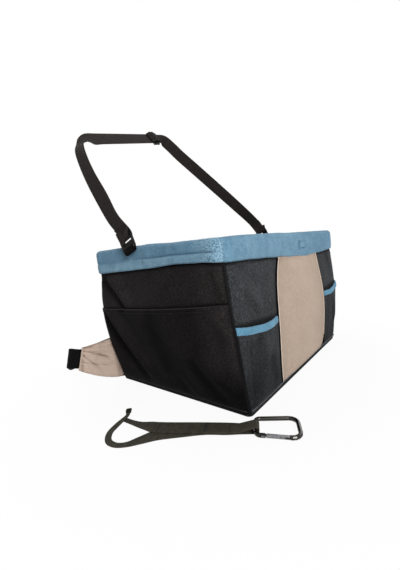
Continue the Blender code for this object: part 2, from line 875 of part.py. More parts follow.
def loop_stops():
    """The stops of the loop between its two locks, each a point and a width direction."""
    run = [(*run_place(across), run_twist_share) for across in run_place_shares]
    shares = left_leg_shares + run + right_leg_shares
    points = [loop_point(across, up) for across, up, _ in shares]
    stops = []
    for i, point in enumerate(points):
        ahead = points[min(i + 1, len(points) - 1)] - points[max(i - 1, 0)]
        stops.append((*point, *width_direction(ahead, shares[i][2])))
    return stops


def make_lock(name, hand, plastic):
    """A ladder lock: a top bar for the strap, a ribbed plate, and a lower bar for the tab."""
    half = lock_width / 2
    inner = half - lock_rail
    low = -lock_bar / 2
    high = low + lock_length
    tab_slot = wrap_radius + web_thick / 2 + 2 * air
    strap_slot = lock_bar * 1.5
    plate_high = high - lock_bar - strap_slot
    holes = [rounded_outline(-inner, inner, low + lock_bar, tab_slot, lock_bar / 4),
             rounded_outline(-inner, inner, plate_high, high - lock_bar, lock_bar / 4)]
    outline = rounded_outline(-half, half, low, high, lock_round, lock_round / 2, steps=4)
    lock = pierced_plate(name, outline, holes, -lock_thick / 2, lock_thick / 2, lock_edge, plastic)
    for share in (0.3, 0.7):
        up = tab_slot + (plate_high - tab_slot) * share
        ends = [Vector((end * (inner - lock_rib), up, hand * lock_thick / 2)) for end in (-1, 1)]
        rib = cord_between(f"{name}_rib_guide", ends, [Vector((0, 0, 1))] * 2, lock_rib, 6, plastic)
        cut(lock, carry(rib, lock), "UNION")
    stand = Matrix.Rotation(math.pi / 2, 4, "Y") @ Matrix.Rotation(math.pi / 2, 4, "Z")
    tilt = Matrix.Rotation(-math.radians(lock_tilt), 4, "X")
    lock.matrix_local = Matrix.Translation((hand * lock_side, 0, 0)) @ tilt @ stand
    return lock


def lock_axes(hand):
    """The lock's directions: up the strap, across it, and out from the tub."""
    tilt = math.radians(lock_tilt)
    up = Vector((0, math.sin(tilt), math.cos(tilt)))
    across = -hand * Vector((0, math.cos(tilt), -math.sin(tilt)))
    return up, across, Vector((hand, 0, 0))


def make_tab(name, hand, finish):
    """The short sleeve of webbing that holds the lock's lower bar against the band."""
    up, across, out = lock_axes(hand)
    centre = Vector((hand * lock_side, 0, 0))
    half = across * tab_width / 2
    sections = []
    for turn in wrap_turns(0, 360, 10)[:-1]:
        spoke = math.cos(turn) * out + math.sin(turn) * up
        inner = centre + spoke * (wrap_radius - web_thick / 2)
        outer = centre + spoke * (wrap_radius + web_thick / 2)
        sections.append([inner - half, inner + half, outer + half, outer - half])
    return sweep(name, sections, finish, closed=True)


def lock_bar_centre(hand):
    """The middle of the lock's top bar, and the webbing's way up from its inner side."""
    up, across, out = lock_axes(hand)
    centre = Vector((hand * lock_side, 0, 0)) + up * (lock_length - lock_bar)
    inner = centre - out * wrap_radius
    return centre, [(*inner, *across), (*(inner + up * lock_bar * 2), *across)]


def strap_tail(hand, leg):
    """The strap's end: its tail lies outside the leg, runs down and goes round the top bar."""
    up, across, out = lock_axes(hand)
    centre, _ = lock_bar_centre(hand)
    tail, run = [], 0.0
    for i in range(1, len(leg) - 1):
        point, side, _ = leg[i]
        point = Vector(point)
        run += (point - Vector(leg[i - 1][0])).length
        ahead = Vector(leg[i + 1][0]) - Vector(leg[i - 1][0])
        face = ahead.cross(Vector(side)).normalized()
        if face.dot(out) < 0:
            face.negate()
        if lock_bar * 3 < run < tail_length:
            tail.append((point + face * (web_thick + air), side, 1.0))
    bend = [(centre + out * wrap_radius * share + up * lock_bar * lift, across, 1.0)
            for share, lift in ((0.30, 2.2), (0.85, 1.1))]
    wrap = [(centre + wrap_radius * (math.cos(turn) * out + math.sin(turn) * up), across, 1.0)
            for turn in wrap_turns(360, 180)[:-1]]
    return tail[::-1] + bend + wrap


def strap_route(steps=5):
    """The whole webbing, from the tail at the left lock round the loop to the right tail."""
    _, left = lock_bar_centre(-1)
    _, right = lock_bar_centre(1)
    rough = smooth_route(left + loop_stops() + right[::-1], steps)
    leg = [(point[:3], point[3:], 1.0) for point in rough]
    return strap_tail(-1, leg) + leg + strap_tail(1, leg[::-1])[::-1]


def run_axes():
    """The strap's straight top run: its direction, the webbing's width and its front face."""
    start, end = [loop_point(*place) for place in run_end_shares]
    ahead = (end - start).normalized()
    across = width_direction(ahead, run_twist_share)
    return ahead, across, ahead.cross(across)


def make_slider(plastic, webbing):
    """An arched three-bar slider: end bars behind the strap, its middle bar in front."""
    ahead, across, face = run_axes()
    if face.y > 0:
        face, across = -face, -across
    place = Matrix((ahead, across, face)).transposed().to_4x4()
    place.translation = loop_point(*run_place(slider_place_share))
    holder = pivot("slider_place", (0, 0, 0))
    holder.matrix_world = place
    half_length = slider_length / 2
    under = -(web_thick / 2 + air + slider_bar)
    over = web_thick * 1.5 + 2 * air + slider_bar
    arch = [(-half_length, under), (half_length, under), (half_length, under + slider_bar),
            (half_length * 0.5, over * 0.8), (half_length * 0.25, over),
            (-half_length * 0.25, over), (-half_length * 0.5, over * 0.8),
            (-half_length, under + slider_bar)]
    rail_in = strap_web / 2 + air
    lay = Matrix.Rotation(math.pi / 2, 4, "X")
    frame = pierced_plate("strap_slider", arch, [], -(rail_in + slider_rail), -rail_in,
                          slider_edge, plastic)
    frame.matrix_local = lay
    other = pierced_plate("slider_rail_guide", arch, [], rail_in, rail_in + slider_rail,
                          slider_edge, plastic)
    cut(frame, carry(other, frame), "UNION")
    reach_out = rail_in + slider_rail / 2
    bars = [("slider_end_guide_a", -half_length + slider_bar / 2, under + slider_bar / 2),
            ("slider_end_guide_b", half_length - slider_bar / 2, under + slider_bar / 2),
            ("slider_middle_guide", 0, over - slider_bar / 2)]
    for name, x, z in bars:
        ends = [Vector((x, z, side * reach_out)) for side in (-1, 1)]
        bar = cord_between(name, ends, [Vector((1, 0, 0))] * 2, slider_bar / 2 * 0.96, 8, plastic)
        cut(frame, carry(bar, frame), "UNION")
    carry(frame, holder)
    lap_z = web_thick + air
    lap = [((x, 0, lap_z), (0, 1, 0), 1.0) for x in (-lap_length / 2, 0, lap_length / 2)]
    return holder, carry(ribbon("slider_lap", lap, strap_web, web_thick, webbing), holder)


def make_strap(webbing, plastic):
    swing = pivot("strap_pivot", (0, anchor_back, pivot_z))
    for name, hand in (("left", -1), ("right", 1)):
        carry(make_lock(f"strap_lock_{name}", hand, plastic), swing)
        carry(make_tab(f"strap_tab_{name}", hand, webbing), swing)
    carry(ribbon("headrest_strap", strap_route(), strap_web, web_thick, webbing), swing)
    holder, _ = make_slider(plastic, webbing)
    carry(holder, swing)


# Loose tether: one webbing folded round a carabiner, with a hand loop and an end tip

# Places along the tether's upper layer: along and across as shares of its length, the layer that
# it lies on, and its width as a share of the webbing's.
tether_upper_shares = [(-0.99, 0.122, 0, 0.36), (-0.91, 0.085, 0, 0.40), (-0.84, 0.055, 0.3, 0.55),
                       (-0.76, 0.028, 1, 0.85), (-0.70, 0.012, 1, 1.0), (-0.60, 0.008, 1, 1.0),
                       (-0.40, 0.006, 1, 1.0), (-0.20, 0.002, 1, 1.0), (-0.11, 0, 1.1, 1.0)]
tether_lower_shares = [(-0.11, 0, 0, 1.0), (-0.20, 0, 0, 1.0), (-0.34, 0.002, 0, 1.0),
                       (-0.50, -0.025, 0, 1.0), (-0.66, -0.058, 0, 1.0), (-0.77, -0.12, 0, 0.70),
                       (-0.85, -0.165, 0, 0.44), (-0.93, -0.172, 0, 0.38), (-1.0, -0.13, 0, 0.38),
                       (-1.035, -0.04, 0, 0.38), (-1.02, 0.055, 0.4, 0.38),
                       (-0.995, 0.125, 1.1, 0.38), (-0.995, 0.18, 0.4, 0.38),
                       (-1.005, 0.215, 0.3, 0.38)]

eye_radius = hook_wire / 2 + air + web_thick / 2
eye_height = eye_radius + web_thick / 2 + air
hook_line = hook_length - hook_wire
narrow_half = tether_web / 2 + air + hook_corner
wide_half = hook_wide / 2 - hook_wire / 2
hinge_share = 0.08
nose_share = 0.92


def tether_point(along, across, layer):
    return (along * tether_length, across * tether_length,
            web_thick / 2 + air + layer * (web_thick + air))


def tether_route():
    upper = [(*tether_point(*stop[:3]), stop[3]) for stop in tether_upper_shares]
    lower = [(*tether_point(*stop[:3]), stop[3]) for stop in tether_lower_shares]
    eye = [(eye_radius * math.sin(turn), 0, eye_height + eye_radius * math.cos(turn), 1.0)
           for turn in wrap_turns(0, 180)]
    route = smooth_route(upper, 3) + eye + smooth_route(lower, 3)
    return [((x, y, z), None, share) for x, y, z, share in route]


def level_across(route):
    """Give flat webbing the width direction that is level and square to its route."""
    points = [Vector(point) for point, _, _ in route]
    done = []
    for i, (point, _, share) in enumerate(route):
        ahead = points[min(i + 1, len(points) - 1)] - points[max(i - 1, 0)]
        level = Vector((ahead.x, ahead.y, 0))
        if level.length < air:
            level = Vector((1, 0, 0))
        side = level.cross(Vector((0, 0, 1))).normalized()
        if done and side.dot(Vector(done[-1][1])) < 0:
            side.negate()
        done.append((point, tuple(side), share))
    return done


def side_line(hand, share):
    """A place on one long side of the carabiner, from its narrow end to its wide end."""
    near = Vector((hook_corner, hand * narrow_half, 0))
    far = Vector((hook_line - hook_wide_corner, hand * wide_half, 0))
    return near + (far - near) * share


def arc(centre, radius, start, finish, steps):
    return [centre + radius * Vector((math.cos(t), math.sin(t), 0))
            for t in wrap_turns(start, finish, steps)]


def make_hook(aluminium, steel):
    """The carabiner body, its hinged gate and the gate's pin, lying flat."""
    tip = math.asin((eye_height - hook_wire / 2 - air) / hook_line)
    holder = pivot("hook_pivot", (0, 0, eye_height), (0, math.degrees(tip), 0))
    narrow = narrow_half - hook_corner
    wide = wide_half - hook_wide_corner
    hinge, nose = side_line(-1, hinge_share), side_line(-1, nose_share)
    gate_line = nose - hinge
    heading = math.atan2(gate_line.y, gate_line.x)
    span = gate_line.length
    knuckle = hook_wire / 2
    line = [hinge + gate_line.normalized() * knuckle, hinge]
    line += arc(Vector((hook_corner, -narrow, 0)), hook_corner, 270, 180, 4)
    line += arc(Vector((hook_corner, narrow, 0)), hook_corner, 180, 90, 4)
    line += [side_line(1, 0.5)]
    line += arc(Vector((hook_line - hook_wide_corner, wide, 0)), hook_wide_corner, 90, 0, 4)
    line += arc(Vector((hook_line - hook_wide_corner, -wide, 0)), hook_wide_corner, 0, -90, 4)
    line += [nose, nose - gate_line.normalized() * knuckle * 1.5]
    body = cord_between("carabiner_body", line, [Vector((0, 0, 1))] * len(line),
                        hook_wire / 2, 10, aluminium)
    gate_place = pivot("gate_pivot", hinge, (0, 0, math.degrees(heading)))
    carry(gate_place, holder)
    tongue = gate_slot / 2 - air
    gate = cord_between("carabiner_gate", [Vector((-knuckle * 0.8, 0, 0)), Vector((span * 0.3, 0, 0)),
                                           Vector((span * 0.7, 0, 0)), Vector((span - air, 0, 0))],
                        [Vector((0, 0, 1))] * 4, gate_wire / 2, 10, aluminium)
    carry(gate, gate_place)
    wide_cut = hook_wire
    body_cuts = [("hinge_slot", (-knuckle * 1.4, -gate_slot / 2), (knuckle * 2, gate_slot / 2)),
                 ("nose_top", (span - knuckle * 2, tongue), (span, wide_cut)),
                 ("nose_back", (span - knuckle * 2, -wide_cut), (span, -tongue))]
    gate_cuts = [("tongue_top", (-wide_cut, tongue), (knuckle * 1.5, wide_cut)),
                 ("tongue_back", (-wide_cut, -wide_cut), (knuckle * 1.5, -tongue)),
                 ("gate_slot", (span - knuckle * 2, -gate_slot / 2), (span + knuckle, gate_slot / 2))]
    for name, low, high in body_cuts:
        cutter = block(name, (low[0], -wide_cut, low[1]), (high[0], wide_cut, high[1]), steel)
        cut(body, carry(cutter, gate_place))
    for name, low, high in gate_cuts:
        cutter = block(name, (low[0], -wide_cut, low[1]), (high[0], wide_cut, high[1]), steel)
        cut(gate, carry(cutter, gate_place))
    carry(body, holder)
    hole_ends = [Vector((0, 0, -wide_cut)), Vector((0, 0, wide_cut))]
    for thing, name in ((body, "body_pin_hole"), (gate, "gate_pin_hole")):
        hole = cord_between(name, hole_ends, [Vector((1, 0, 0))] * 2, gate_pin / 2 + air, 10, steel)
        cut(thing, carry(hole, gate_place))
    pin_ends = [Vector((0, 0, -hook_wire / 2 + air)), Vector((0, 0, hook_wire / 2 - air))]
    pin = cord_between("gate_pin", pin_ends, [Vector((1, 0, 0))] * 2, gate_pin / 2, 10, steel)
    carry(pin, gate_place)
    return holder


def make_tether(webbing, plastic, aluminium, steel):
    holder = pivot("tether_place", (-tether_side, -tether_front, 0), (0, 0, tether_turn))
    carry(ribbon("tether_webbing", level_across(tether_route()), tether_web, web_thick, webbing),
          holder)
    carry(make_hook(aluminium, steel), holder)
    end = tether_lower_shares[-1]
    before = tether_lower_shares[-2]
    x, y, z = tether_point(*end[:3])
    heading = math.atan2(end[1] - before[1], end[0] - before[0])
    outline = rounded_outline(air, tip_length, -tip_width / 2, tip_width / 2,
                              tip_width / 8, tip_width / 4)
    tip = pierced_plate("tether_tip", outline, [], air, air + tip_thick, tip_thick / 5, plastic)
    tip.location = (x, y, 0)
    tip.rotation_euler = (0, 0, heading)
    carry(tip, holder)


def main():
    clear_scene()
    black_cloth = finish_of("black_polyester", (0.022, 0.023, 0.026), 0.85)
    black_cord = finish_of("black_cord", (0.012, 0.012, 0.014), 0.7)
    khaki_cloth = finish_of("khaki_polyester", (0.47, 0.36, 0.28), 0.8)
    blue_fleece = finish_of("blue_fleece", (0.13, 0.26, 0.38), 0.95)
    blue_trim = finish_of("blue_binding", (0.10, 0.27, 0.42), 0.7)
    board = finish_of("stiffening_board", (0.55, 0.53, 0.50), 0.6)
    steel = finish_of("hoop_steel", (0.55, 0.56, 0.58), 0.3, 1.0)
    strap = finish_of("strap_webbing", (0.022, 0.018, 0.017), 0.6)
    tether = finish_of("tether_webbing", (0.045, 0.043, 0.036), 0.7)
    plastic = finish_of("black_acetal", (0.010, 0.010, 0.011), 0.3)
    aluminium = finish_of("black_aluminium", (0.05, 0.05, 0.055), 0.35, 1.0)
    make_shell(black_cloth)
    make_corner_welts(black_cord)
    make_boards(board)
    make_floor(black_cloth, black_cord)
    make_lining(blue_fleece)
    make_band(blue_fleece)
    make_hoop(steel)
    make_patch(blue_fleece)
    make_centre_panel(khaki_cloth, black_cord)
    make_pockets(black_cloth, blue_trim)
    make_cushion(blue_fleece)
    make_wings(khaki_cloth)
    make_belt(strap, plastic)
    make_strap(strap, plastic)
    make_tether(tether, plastic, aluminium, steel)


main()
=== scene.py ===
# %% [markdown]
# # Dog car seat: the looks
#
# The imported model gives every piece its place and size. This lesson gives each piece its form and
# finish: cloth that wrinkles, plush fleece, woven webbing, moulded buckles and a metal carabiner.
# Everything is in metres, with X across the seat, the front panel at -Y and Z up.

import math

import bmesh
import bpy
from mathutils import Matrix, Vector, noise


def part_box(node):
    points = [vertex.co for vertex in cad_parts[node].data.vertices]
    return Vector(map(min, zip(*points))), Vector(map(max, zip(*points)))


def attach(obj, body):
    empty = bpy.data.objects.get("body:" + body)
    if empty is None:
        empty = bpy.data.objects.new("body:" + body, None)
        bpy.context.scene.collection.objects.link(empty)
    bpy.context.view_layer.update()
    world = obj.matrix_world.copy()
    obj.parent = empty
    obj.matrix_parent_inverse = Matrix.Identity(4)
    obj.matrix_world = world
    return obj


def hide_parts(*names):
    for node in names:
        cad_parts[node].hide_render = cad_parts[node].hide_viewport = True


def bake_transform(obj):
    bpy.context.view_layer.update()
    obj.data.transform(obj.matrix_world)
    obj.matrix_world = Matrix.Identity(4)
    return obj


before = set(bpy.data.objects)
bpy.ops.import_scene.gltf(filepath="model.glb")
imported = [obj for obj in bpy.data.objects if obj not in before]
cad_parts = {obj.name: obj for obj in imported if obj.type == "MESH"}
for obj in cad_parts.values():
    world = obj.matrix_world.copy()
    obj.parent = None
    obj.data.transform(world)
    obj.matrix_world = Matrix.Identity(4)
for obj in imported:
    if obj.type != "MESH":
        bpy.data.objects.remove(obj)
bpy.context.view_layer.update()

# %% [markdown]
# ## The camera
#
# The photograph was taken close to the near left corner, about level with the rim, with a short
# lens. That gives the strong taper of the tub and its leaning edges. The place and the tilts were
# worked out from the tub's own edges, so the camera is set by its three angles.

# %% Camera
camera_place = Vector((-0.4795, -0.3366, 0.2208))
camera_azimuth = -49.26
camera_pitch = 6.48
camera_roll = -6.52
camera_lens = 18.72
camera_sensor = 36


def camera_axes(azimuth, pitch, roll):
    """The camera's right, up and backward directions."""
    azimuth, pitch, roll = (math.radians(angle) for angle in (azimuth, pitch, roll))
    forward = Vector((math.sin(-azimuth) * math.cos(pitch),
                      math.cos(azimuth) * math.cos(pitch), -math.sin(pitch)))
    right = forward.cross(Vector((0, 0, 1))).normalized()
    upward = right.cross(forward)
    tilted_right = right * math.cos(roll) + upward * math.sin(roll)
    tilted_up = upward * math.cos(roll) - right * math.sin(roll)
    return tilted_right, tilted_up, -forward


camera_data = bpy.data.cameras.new("photo_camera")
camera_data.lens = camera_lens
camera_data.sensor_width = camera_sensor
camera = bpy.data.objects.new("photo_camera", camera_data)
bpy.context.scene.collection.objects.link(camera)
turned = Matrix(camera_axes(camera_azimuth, camera_pitch, camera_roll)).transposed().to_4x4()
camera.matrix_world = Matrix.Translation(camera_place) @ turned
bpy.context.scene.camera = camera
print("camera", [round(v, 3) for v in camera_place], "lens", camera_lens)

# %% [markdown]
# ## Colours and nodes
#
# Colours are read off the object as hex values. Blender's sockets want linear light, so one
# function turns them. A second one adds a shader node with its settings and its links, and the
# others name the few kinds of node that the finishes share.

# %% Colour and node helpers


def tint(hex_code):
    """An sRGB hex colour as linear red, green, blue and alpha."""
    parts = [int(hex_code[i:i + 2], 16) / 255 for i in (1, 3, 5)]
    linear = [c / 12.92 if c <= 0.04045 else ((c + 0.055) / 1.055) ** 2.4 for c in parts]
    return (*linear, 1.0)


def add_node(tree, kind, settings=None, inputs=None):
    """Add a shader node; an input is given a value or the socket that feeds it."""
    node = tree.nodes.new("ShaderNode" + kind)
    for name, value in (settings or {}).items():
        setattr(node, name, value)
    for name, value in (inputs or {}).items():
        if isinstance(value, bpy.types.NodeSocket):
            tree.links.new(value, node.inputs[name])
        else:
            node.inputs[name].default_value = value
    return node


def per_metre(size_mm):
    """A pattern's scale for a feature of this size in millimetres."""
    return 1000 / size_mm


def noise_at(tree, place, size_mm, detail, roughness):
    """Soft noise with features of this size in millimetres."""
    return add_node(tree, "TexNoise", inputs={
        "Vector": place, "Scale": per_metre(size_mm), "Detail": detail,
        "Roughness": roughness}).outputs["Fac"]


def stretched(tree, value, low, high, to_low=0.0, to_high=1.0):
    """A value's range from low to high, stretched over another range."""
    return add_node(tree, "MapRange", inputs={
        "Value": value, "From Min": low, "From Max": high, "To Min": to_low,
        "To Max": to_high}).outputs["Result"]


def mixed(tree, share, first, second, data_type="RGBA", blend_type="MIX"):
    """Two colours or numbers mixed by a share."""
    return add_node(tree, "Mix", {"data_type": data_type, "blend_type": blend_type}, {
        "Factor": share, "A": first, "B": second}).outputs["Result"]


def maths(tree, operation, *values):
    """One sum of one or two values."""
    return add_node(tree, "Math", {"operation": operation}, dict(enumerate(values))).outputs[0]


def bumped(tree, height, strength, distance, normal=None):
    """A normal that follows a height, on top of another normal where one is given."""
    inputs = {"Strength": strength, "Distance": distance, "Height": height}
    if normal is not None:
        inputs["Normal"] = normal
    return add_node(tree, "Bump", inputs=inputs).outputs["Normal"]


def crossed_waves(tree, first, first_mm, second, second_mm):
    """Height of a plain weave: waves along one place value times waves along another."""
    waves = [maths(tree, "SINE", maths(tree, "MULTIPLY", value, 2 * math.pi * per_metre(pitch)))
             for value, pitch in ((first, first_mm), (second, second_mm))]
    return maths(tree, "MULTIPLY", *waves)


def mesh_value(tree, name):
    """A number that the mesh carries for each of its points."""
    return add_node(tree, "Attribute", {"attribute_name": name}).outputs["Fac"]


def new_surface(name, constants):
    """A material with a Principled shader whose plain values are set on its own sockets."""
    surface = bpy.data.materials.new(name)
    surface.use_nodes = True
    tree = surface.node_tree
    shader = tree.nodes["Principled BSDF"]
    for socket, value in constants.items():
        shader.inputs[socket].default_value = value
    return surface, tree, shader


print("black cloth in linear light:", [round(c, 4) for c in tint("#2C2E30")])

# %% [markdown]
# ## Woven polyester
#
# The tub, the pockets and the khaki panels are 600-denier woven polyester: thick, matt, with a
# thread of about 0.5 mm. That is finer than a pixel of the picture, so the weave is drawn at
# 2.2 mm, as coarse as it needs to be to show. Cloth is never one even colour: soft clouds come
# from handling, and a fine fleck from threads that take the dye differently.

# %% Woven polyester


def woven_polyester(name, deep, pale, fleck, sheen=0.02, roughness=0.85, pitch_mm=2.2,
                    fleck_mm=2.3, shadow="#6A6A6A"):
    """Matt woven cloth whose colour drifts between two tints and is flecked with a third, then darkened
    towards a shadow tint by the painted shade that the mesh carries.
    """
    surface, tree, shader = new_surface(name, {
        "Roughness": roughness, "IOR": 1.5, "Specular IOR Level": 0.03,
        "Sheen Weight": sheen, "Sheen Roughness": 0.45})
    place = add_node(tree, "TexCoord").outputs["Object"]
    clouds = stretched(tree, noise_at(tree, place, 55, 5.0, 0.62), 0.32, 0.68)
    base = mixed(tree, clouds, tint(deep), tint(pale))
    threads = stretched(tree, noise_at(tree, place, fleck_mm, 2.0, 0.7), 0.46, 0.74, to_high=0.8)
    flecked = mixed(tree, threads, base, tint(fleck))
    shaded = mixed(tree, mesh_value(tree, "shade"), flecked, tint(shadow), blend_type="MULTIPLY")
    tree.links.new(shaded, shader.inputs["Base Color"])
    parts = add_node(tree, "SeparateXYZ", inputs={"Vector": place}).outputs
    along = maths(tree, "ADD", parts["X"], parts["Y"])
    weave = crossed_waves(tree, along, pitch_mm, parts["Z"], pitch_mm)
    fine = bumped(tree, weave, 0.5, 0.00022)
    soft = bumped(tree, noise_at(tree, place, 7, 4.0, 0.6), 0.35, 0.0009, fine)
    tree.links.new(soft, shader.inputs["Normal"])
    return surface


# Copies of one black polyester: the side copy is darker, a painted shade; the front copy, also used on
# the rear and the base, is lighter, a painted light; the two edge copies are lighter again, painted
# highlight lines on rolled edges and foot hems.
highlight_side_cloth = woven_polyester("black_polyester_highlight_side", "#262424", "#312F2F", "#3C3938")
highlight_front_cloth = woven_polyester("black_polyester_highlight_front", "#45474A", "#545659", "#66686B")
shaded_black_cloth = woven_polyester("black_polyester_painted_shade", "#1F1C1D", "#2B2829", "#403C3B")
lit_black_cloth = woven_polyester("black_polyester_painted_light", "#2A2B2D", "#383A3C", "#55575A",
                              sheen=0.03)
khaki_cloth = woven_polyester("khaki_polyester_smooth", "#A99788", "#B2A091", "#B9A798",
                              sheen=0.05, roughness=0.75, fleck_mm=6.0, shadow="#8A8078")
# The khaki edge copy is lighter: a painted highlight along the centre panel's rolled edges. The wing
# copy is lighter than the centre panel's cloth: a painted light on wings that sit behind the tub.
khaki_highlight_cloth = woven_polyester("khaki_polyester_highlight", "#CBB9AA", "#D8C7B9", "#E2D3C6", sheen=0.05,
                             roughness=0.7, shadow="#8A8078")
lit_wing_khaki = woven_polyester("khaki_polyester_wing_lit", "#BDA798", "#C8B2A3", "#D3BFB0",
                             sheen=0.05, roughness=0.75, shadow="#6E5F54")
print("woven cloths:", shaded_black_cloth.name, lit_black_cloth.name, khaki_cloth.name, lit_wing_khaki.name)

# %% [markdown]
# ## Plush fleece
#
# The band, the lining and the cushion are short-pile polyester fleece. The pile stands in little
# clumps a couple of millimetres across: their tips catch light and the gaps between them are dark,
# so the eye reads a soft speckle. Sheen gives the pale bloom along rounded edges.

# %% Plush fleece


def plush_fleece(name, gap, middle, tip, clump_mm=2.6):
    """Short pile in clumps, darkened and turned bluer by the painted shade that the mesh carries, and
    light and dark where it curls.
    """
    surface, tree, shader = new_surface(name, {
        "Roughness": 0.95, "IOR": 1.5, "Specular IOR Level": 0.1,
        "Sheen Weight": 0.12, "Sheen Roughness": 0.5})
    place = add_node(tree, "TexCoord").outputs["Object"]
    clumps = noise_at(tree, place, clump_mm, 4.0, 0.65)
    both = mixed(tree, 0.38, clumps, noise_at(tree, place, 16, 3.0, 0.6), data_type="FLOAT")
    ramp = add_node(tree, "ValToRGB", inputs={"Fac": both})
    ramp.color_ramp.elements[0].position = 0.36
    ramp.color_ramp.elements[0].color = tint(gap)
    ramp.color_ramp.elements[1].position = 0.66
    ramp.color_ramp.elements[1].color = tint(tip)
    ramp.color_ramp.elements.new(0.47).color = tint(middle)
    fleece_painted_shade = mixed(tree, mesh_value(tree, "shade"), ramp.outputs["Color"], tint("#C2D4E0"),
                   blend_type="MULTIPLY")
    specks = stretched(tree, noise_at(tree, place, 2.0, 1.0, 0.6), 0.38, 0.52)
    curls = mixed(tree, specks, tint("#4F7288"), tint("#8FB3C8"))
    fleece = mixed(tree, mesh_value(tree, "curl"), fleece_painted_shade, curls)
    tree.links.new(fleece, shader.inputs["Base Color"])
    fine = bumped(tree, noise_at(tree, place, 1.3, 3.0, 0.7), 0.7, 0.0006)
    tree.links.new(bumped(tree, clumps, 0.6, 0.0012, fine), shader.inputs["Normal"])
    return surface


band_fleece_finish = plush_fleece("plush_fleece_blue", "#60859A", "#6E93A9", "#83A8BC")
binding_finish = plush_fleece("brushed_binding_blue", "#4A7892", "#5887A1", "#6C9BB4", clump_mm=1.4)
print("fleeces:", band_fleece_finish.name, binding_finish.name)

# %% [markdown]
# ## Webbing
#
# Webbing is woven flat and narrow, with ribs across it about 1.5 mm apart and a firm selvedge at
# each edge. The pattern has to follow the strap as it twists, so it is read from a map that the
# mesh carries: across the webbing and along it, both in metres.

# %% Webbing


def flat_webbing(name, deep, pale, rib_mm=1.5, gloss=0.12, roughness=0.75):
    """Ribbed webbing, worn unevenly, whose weave follows the strap."""
    surface, tree, shader = new_surface(name, {
        "Roughness": roughness, "IOR": 1.52, "Specular IOR Level": gloss})
    run = add_node(tree, "UVMap", {"uv_map": "run"}).outputs["UV"]
    parts = add_node(tree, "SeparateXYZ", inputs={"Vector": run}).outputs
    weave = crossed_waves(tree, parts["X"], rib_mm * 1.6, parts["Y"], rib_mm)
    place = add_node(tree, "TexCoord").outputs["Object"]
    wear = stretched(tree, noise_at(tree, place, 9, 5.0, 0.7), 0.35, 0.7)
    woven = mixed(tree, 0.6, wear, stretched(tree, weave, -1.0, 1.0), data_type="FLOAT")
    base = mixed(tree, woven, tint(deep), tint(pale))
    tree.links.new(base, shader.inputs["Base Color"])
    tree.links.new(bumped(tree, weave, 0.8, 0.0003), shader.inputs["Normal"])
    return surface


strap_finish = flat_webbing("polyester_webbing_black", "#1B1715", "#2B2523")
# The doubled lap is a darker copy of the same webbing: a painted shade.
shaded_lap_webbing = flat_webbing("webbing_black_doubled_shaded", "#141110", "#201C1A")
belt_finish = flat_webbing("polyester_webbing_jet", "#0C0B0C", "#151415", gloss=0.03)
tether_finish = flat_webbing("polypropylene_webbing_olive", "#25231D", "#4E4B41", rib_mm=2.4)
print("webbings:", strap_finish.name, belt_finish.name, tether_finish.name)

# %% [markdown]
# ## Cords, thread, mouldings and metal
#
# Piping is cord in a tight woven cover. The buckles are moulded acetal: satin, with a faint spark
# texture from the mould. The carabiner is cast and anodised aluminium, nearly black, which shows
# bright streaks along its round bar. Pin and hoop are drawn steel wire.

# %% Cord, plastic and metal


def grained_surface(name, deep, pale, grain_mm, bump_mm, constants):
    """A surface whose colour and height vary with one fine grain."""
    surface, tree, shader = new_surface(name, constants)
    place = add_node(tree, "TexCoord").outputs["Object"]
    grain = noise_at(tree, place, grain_mm, 4.0, 0.6)
    tree.links.new(mixed(tree, grain, tint(deep), tint(pale)), shader.inputs["Base Color"])
    tree.links.new(bumped(tree, grain, 0.6, bump_mm / 1000), shader.inputs["Normal"])
    rough = stretched(tree, grain, 0.0, 1.0, constants["Roughness"] * 0.85,
                      constants["Roughness"] * 1.15)
    tree.links.new(rough, shader.inputs["Roughness"])
    return surface


sewing_thread_look = {"Roughness": 0.5, "IOR": 1.5, "Sheen Weight": 0.2}
cord_finish = grained_surface("covered_cord_black", "#0C0C0D", "#161617", 1.1, 0.25, {
    "Roughness": 0.7, "IOR": 1.5, "Specular IOR Level": 0.1})
thread_dark = grained_surface("sewing_thread_black", "#121213", "#1E1E1F", 0.6, 0.05, {
    "Roughness": 0.6, "IOR": 1.5, "Specular IOR Level": 0.2})
thread_blue = grained_surface("sewing_thread_blue", "#4A7288", "#5F8AA2", 0.6, 0.05,
                              sewing_thread_look)
thread_khaki = grained_surface("sewing_thread_khaki", "#A38D7B", "#B8A28F", 0.6, 0.05,
                               sewing_thread_look)
acetal = grained_surface("moulded_acetal_black", "#09090A", "#101011", 0.8, 0.03, {
    "Roughness": 0.45, "IOR": 1.48, "Specular IOR Level": 0.12})
aluminium = grained_surface("anodised_aluminium_black", "#1D1C1A", "#33312C", 5.0, 0.02, {
    "Roughness": 0.30, "Metallic": 1.0, "Coat Weight": 0.35, "Coat Roughness": 0.12})
bright_aluminium = grained_surface("worn_aluminium_gate", "#2A2A2B", "#A3A3A6", 2.6, 0.05, {
    "Roughness": 0.25, "Metallic": 1.0})
steel = grained_surface("drawn_steel_wire", "#9A9B9E", "#B5B6B9", 1.2, 0.02, {
    "Roughness": 0.3, "Metallic": 1.0})
board_finish = grained_surface("polypropylene_board_grey", "#9C968D", "#B0AAA1", 3.0, 0.1, {
    "Roughness": 0.6, "IOR": 1.49})
print("hard finishes:", acetal.name, aluminium.name, steel.name, board_finish.name)

# %% [markdown]
# ## Finishes for the pieces that stay as they are
#
# The rigid mouldings, the metal and the hidden boards already have their right shape in the packed
# model. They keep it, and each gets its finish.

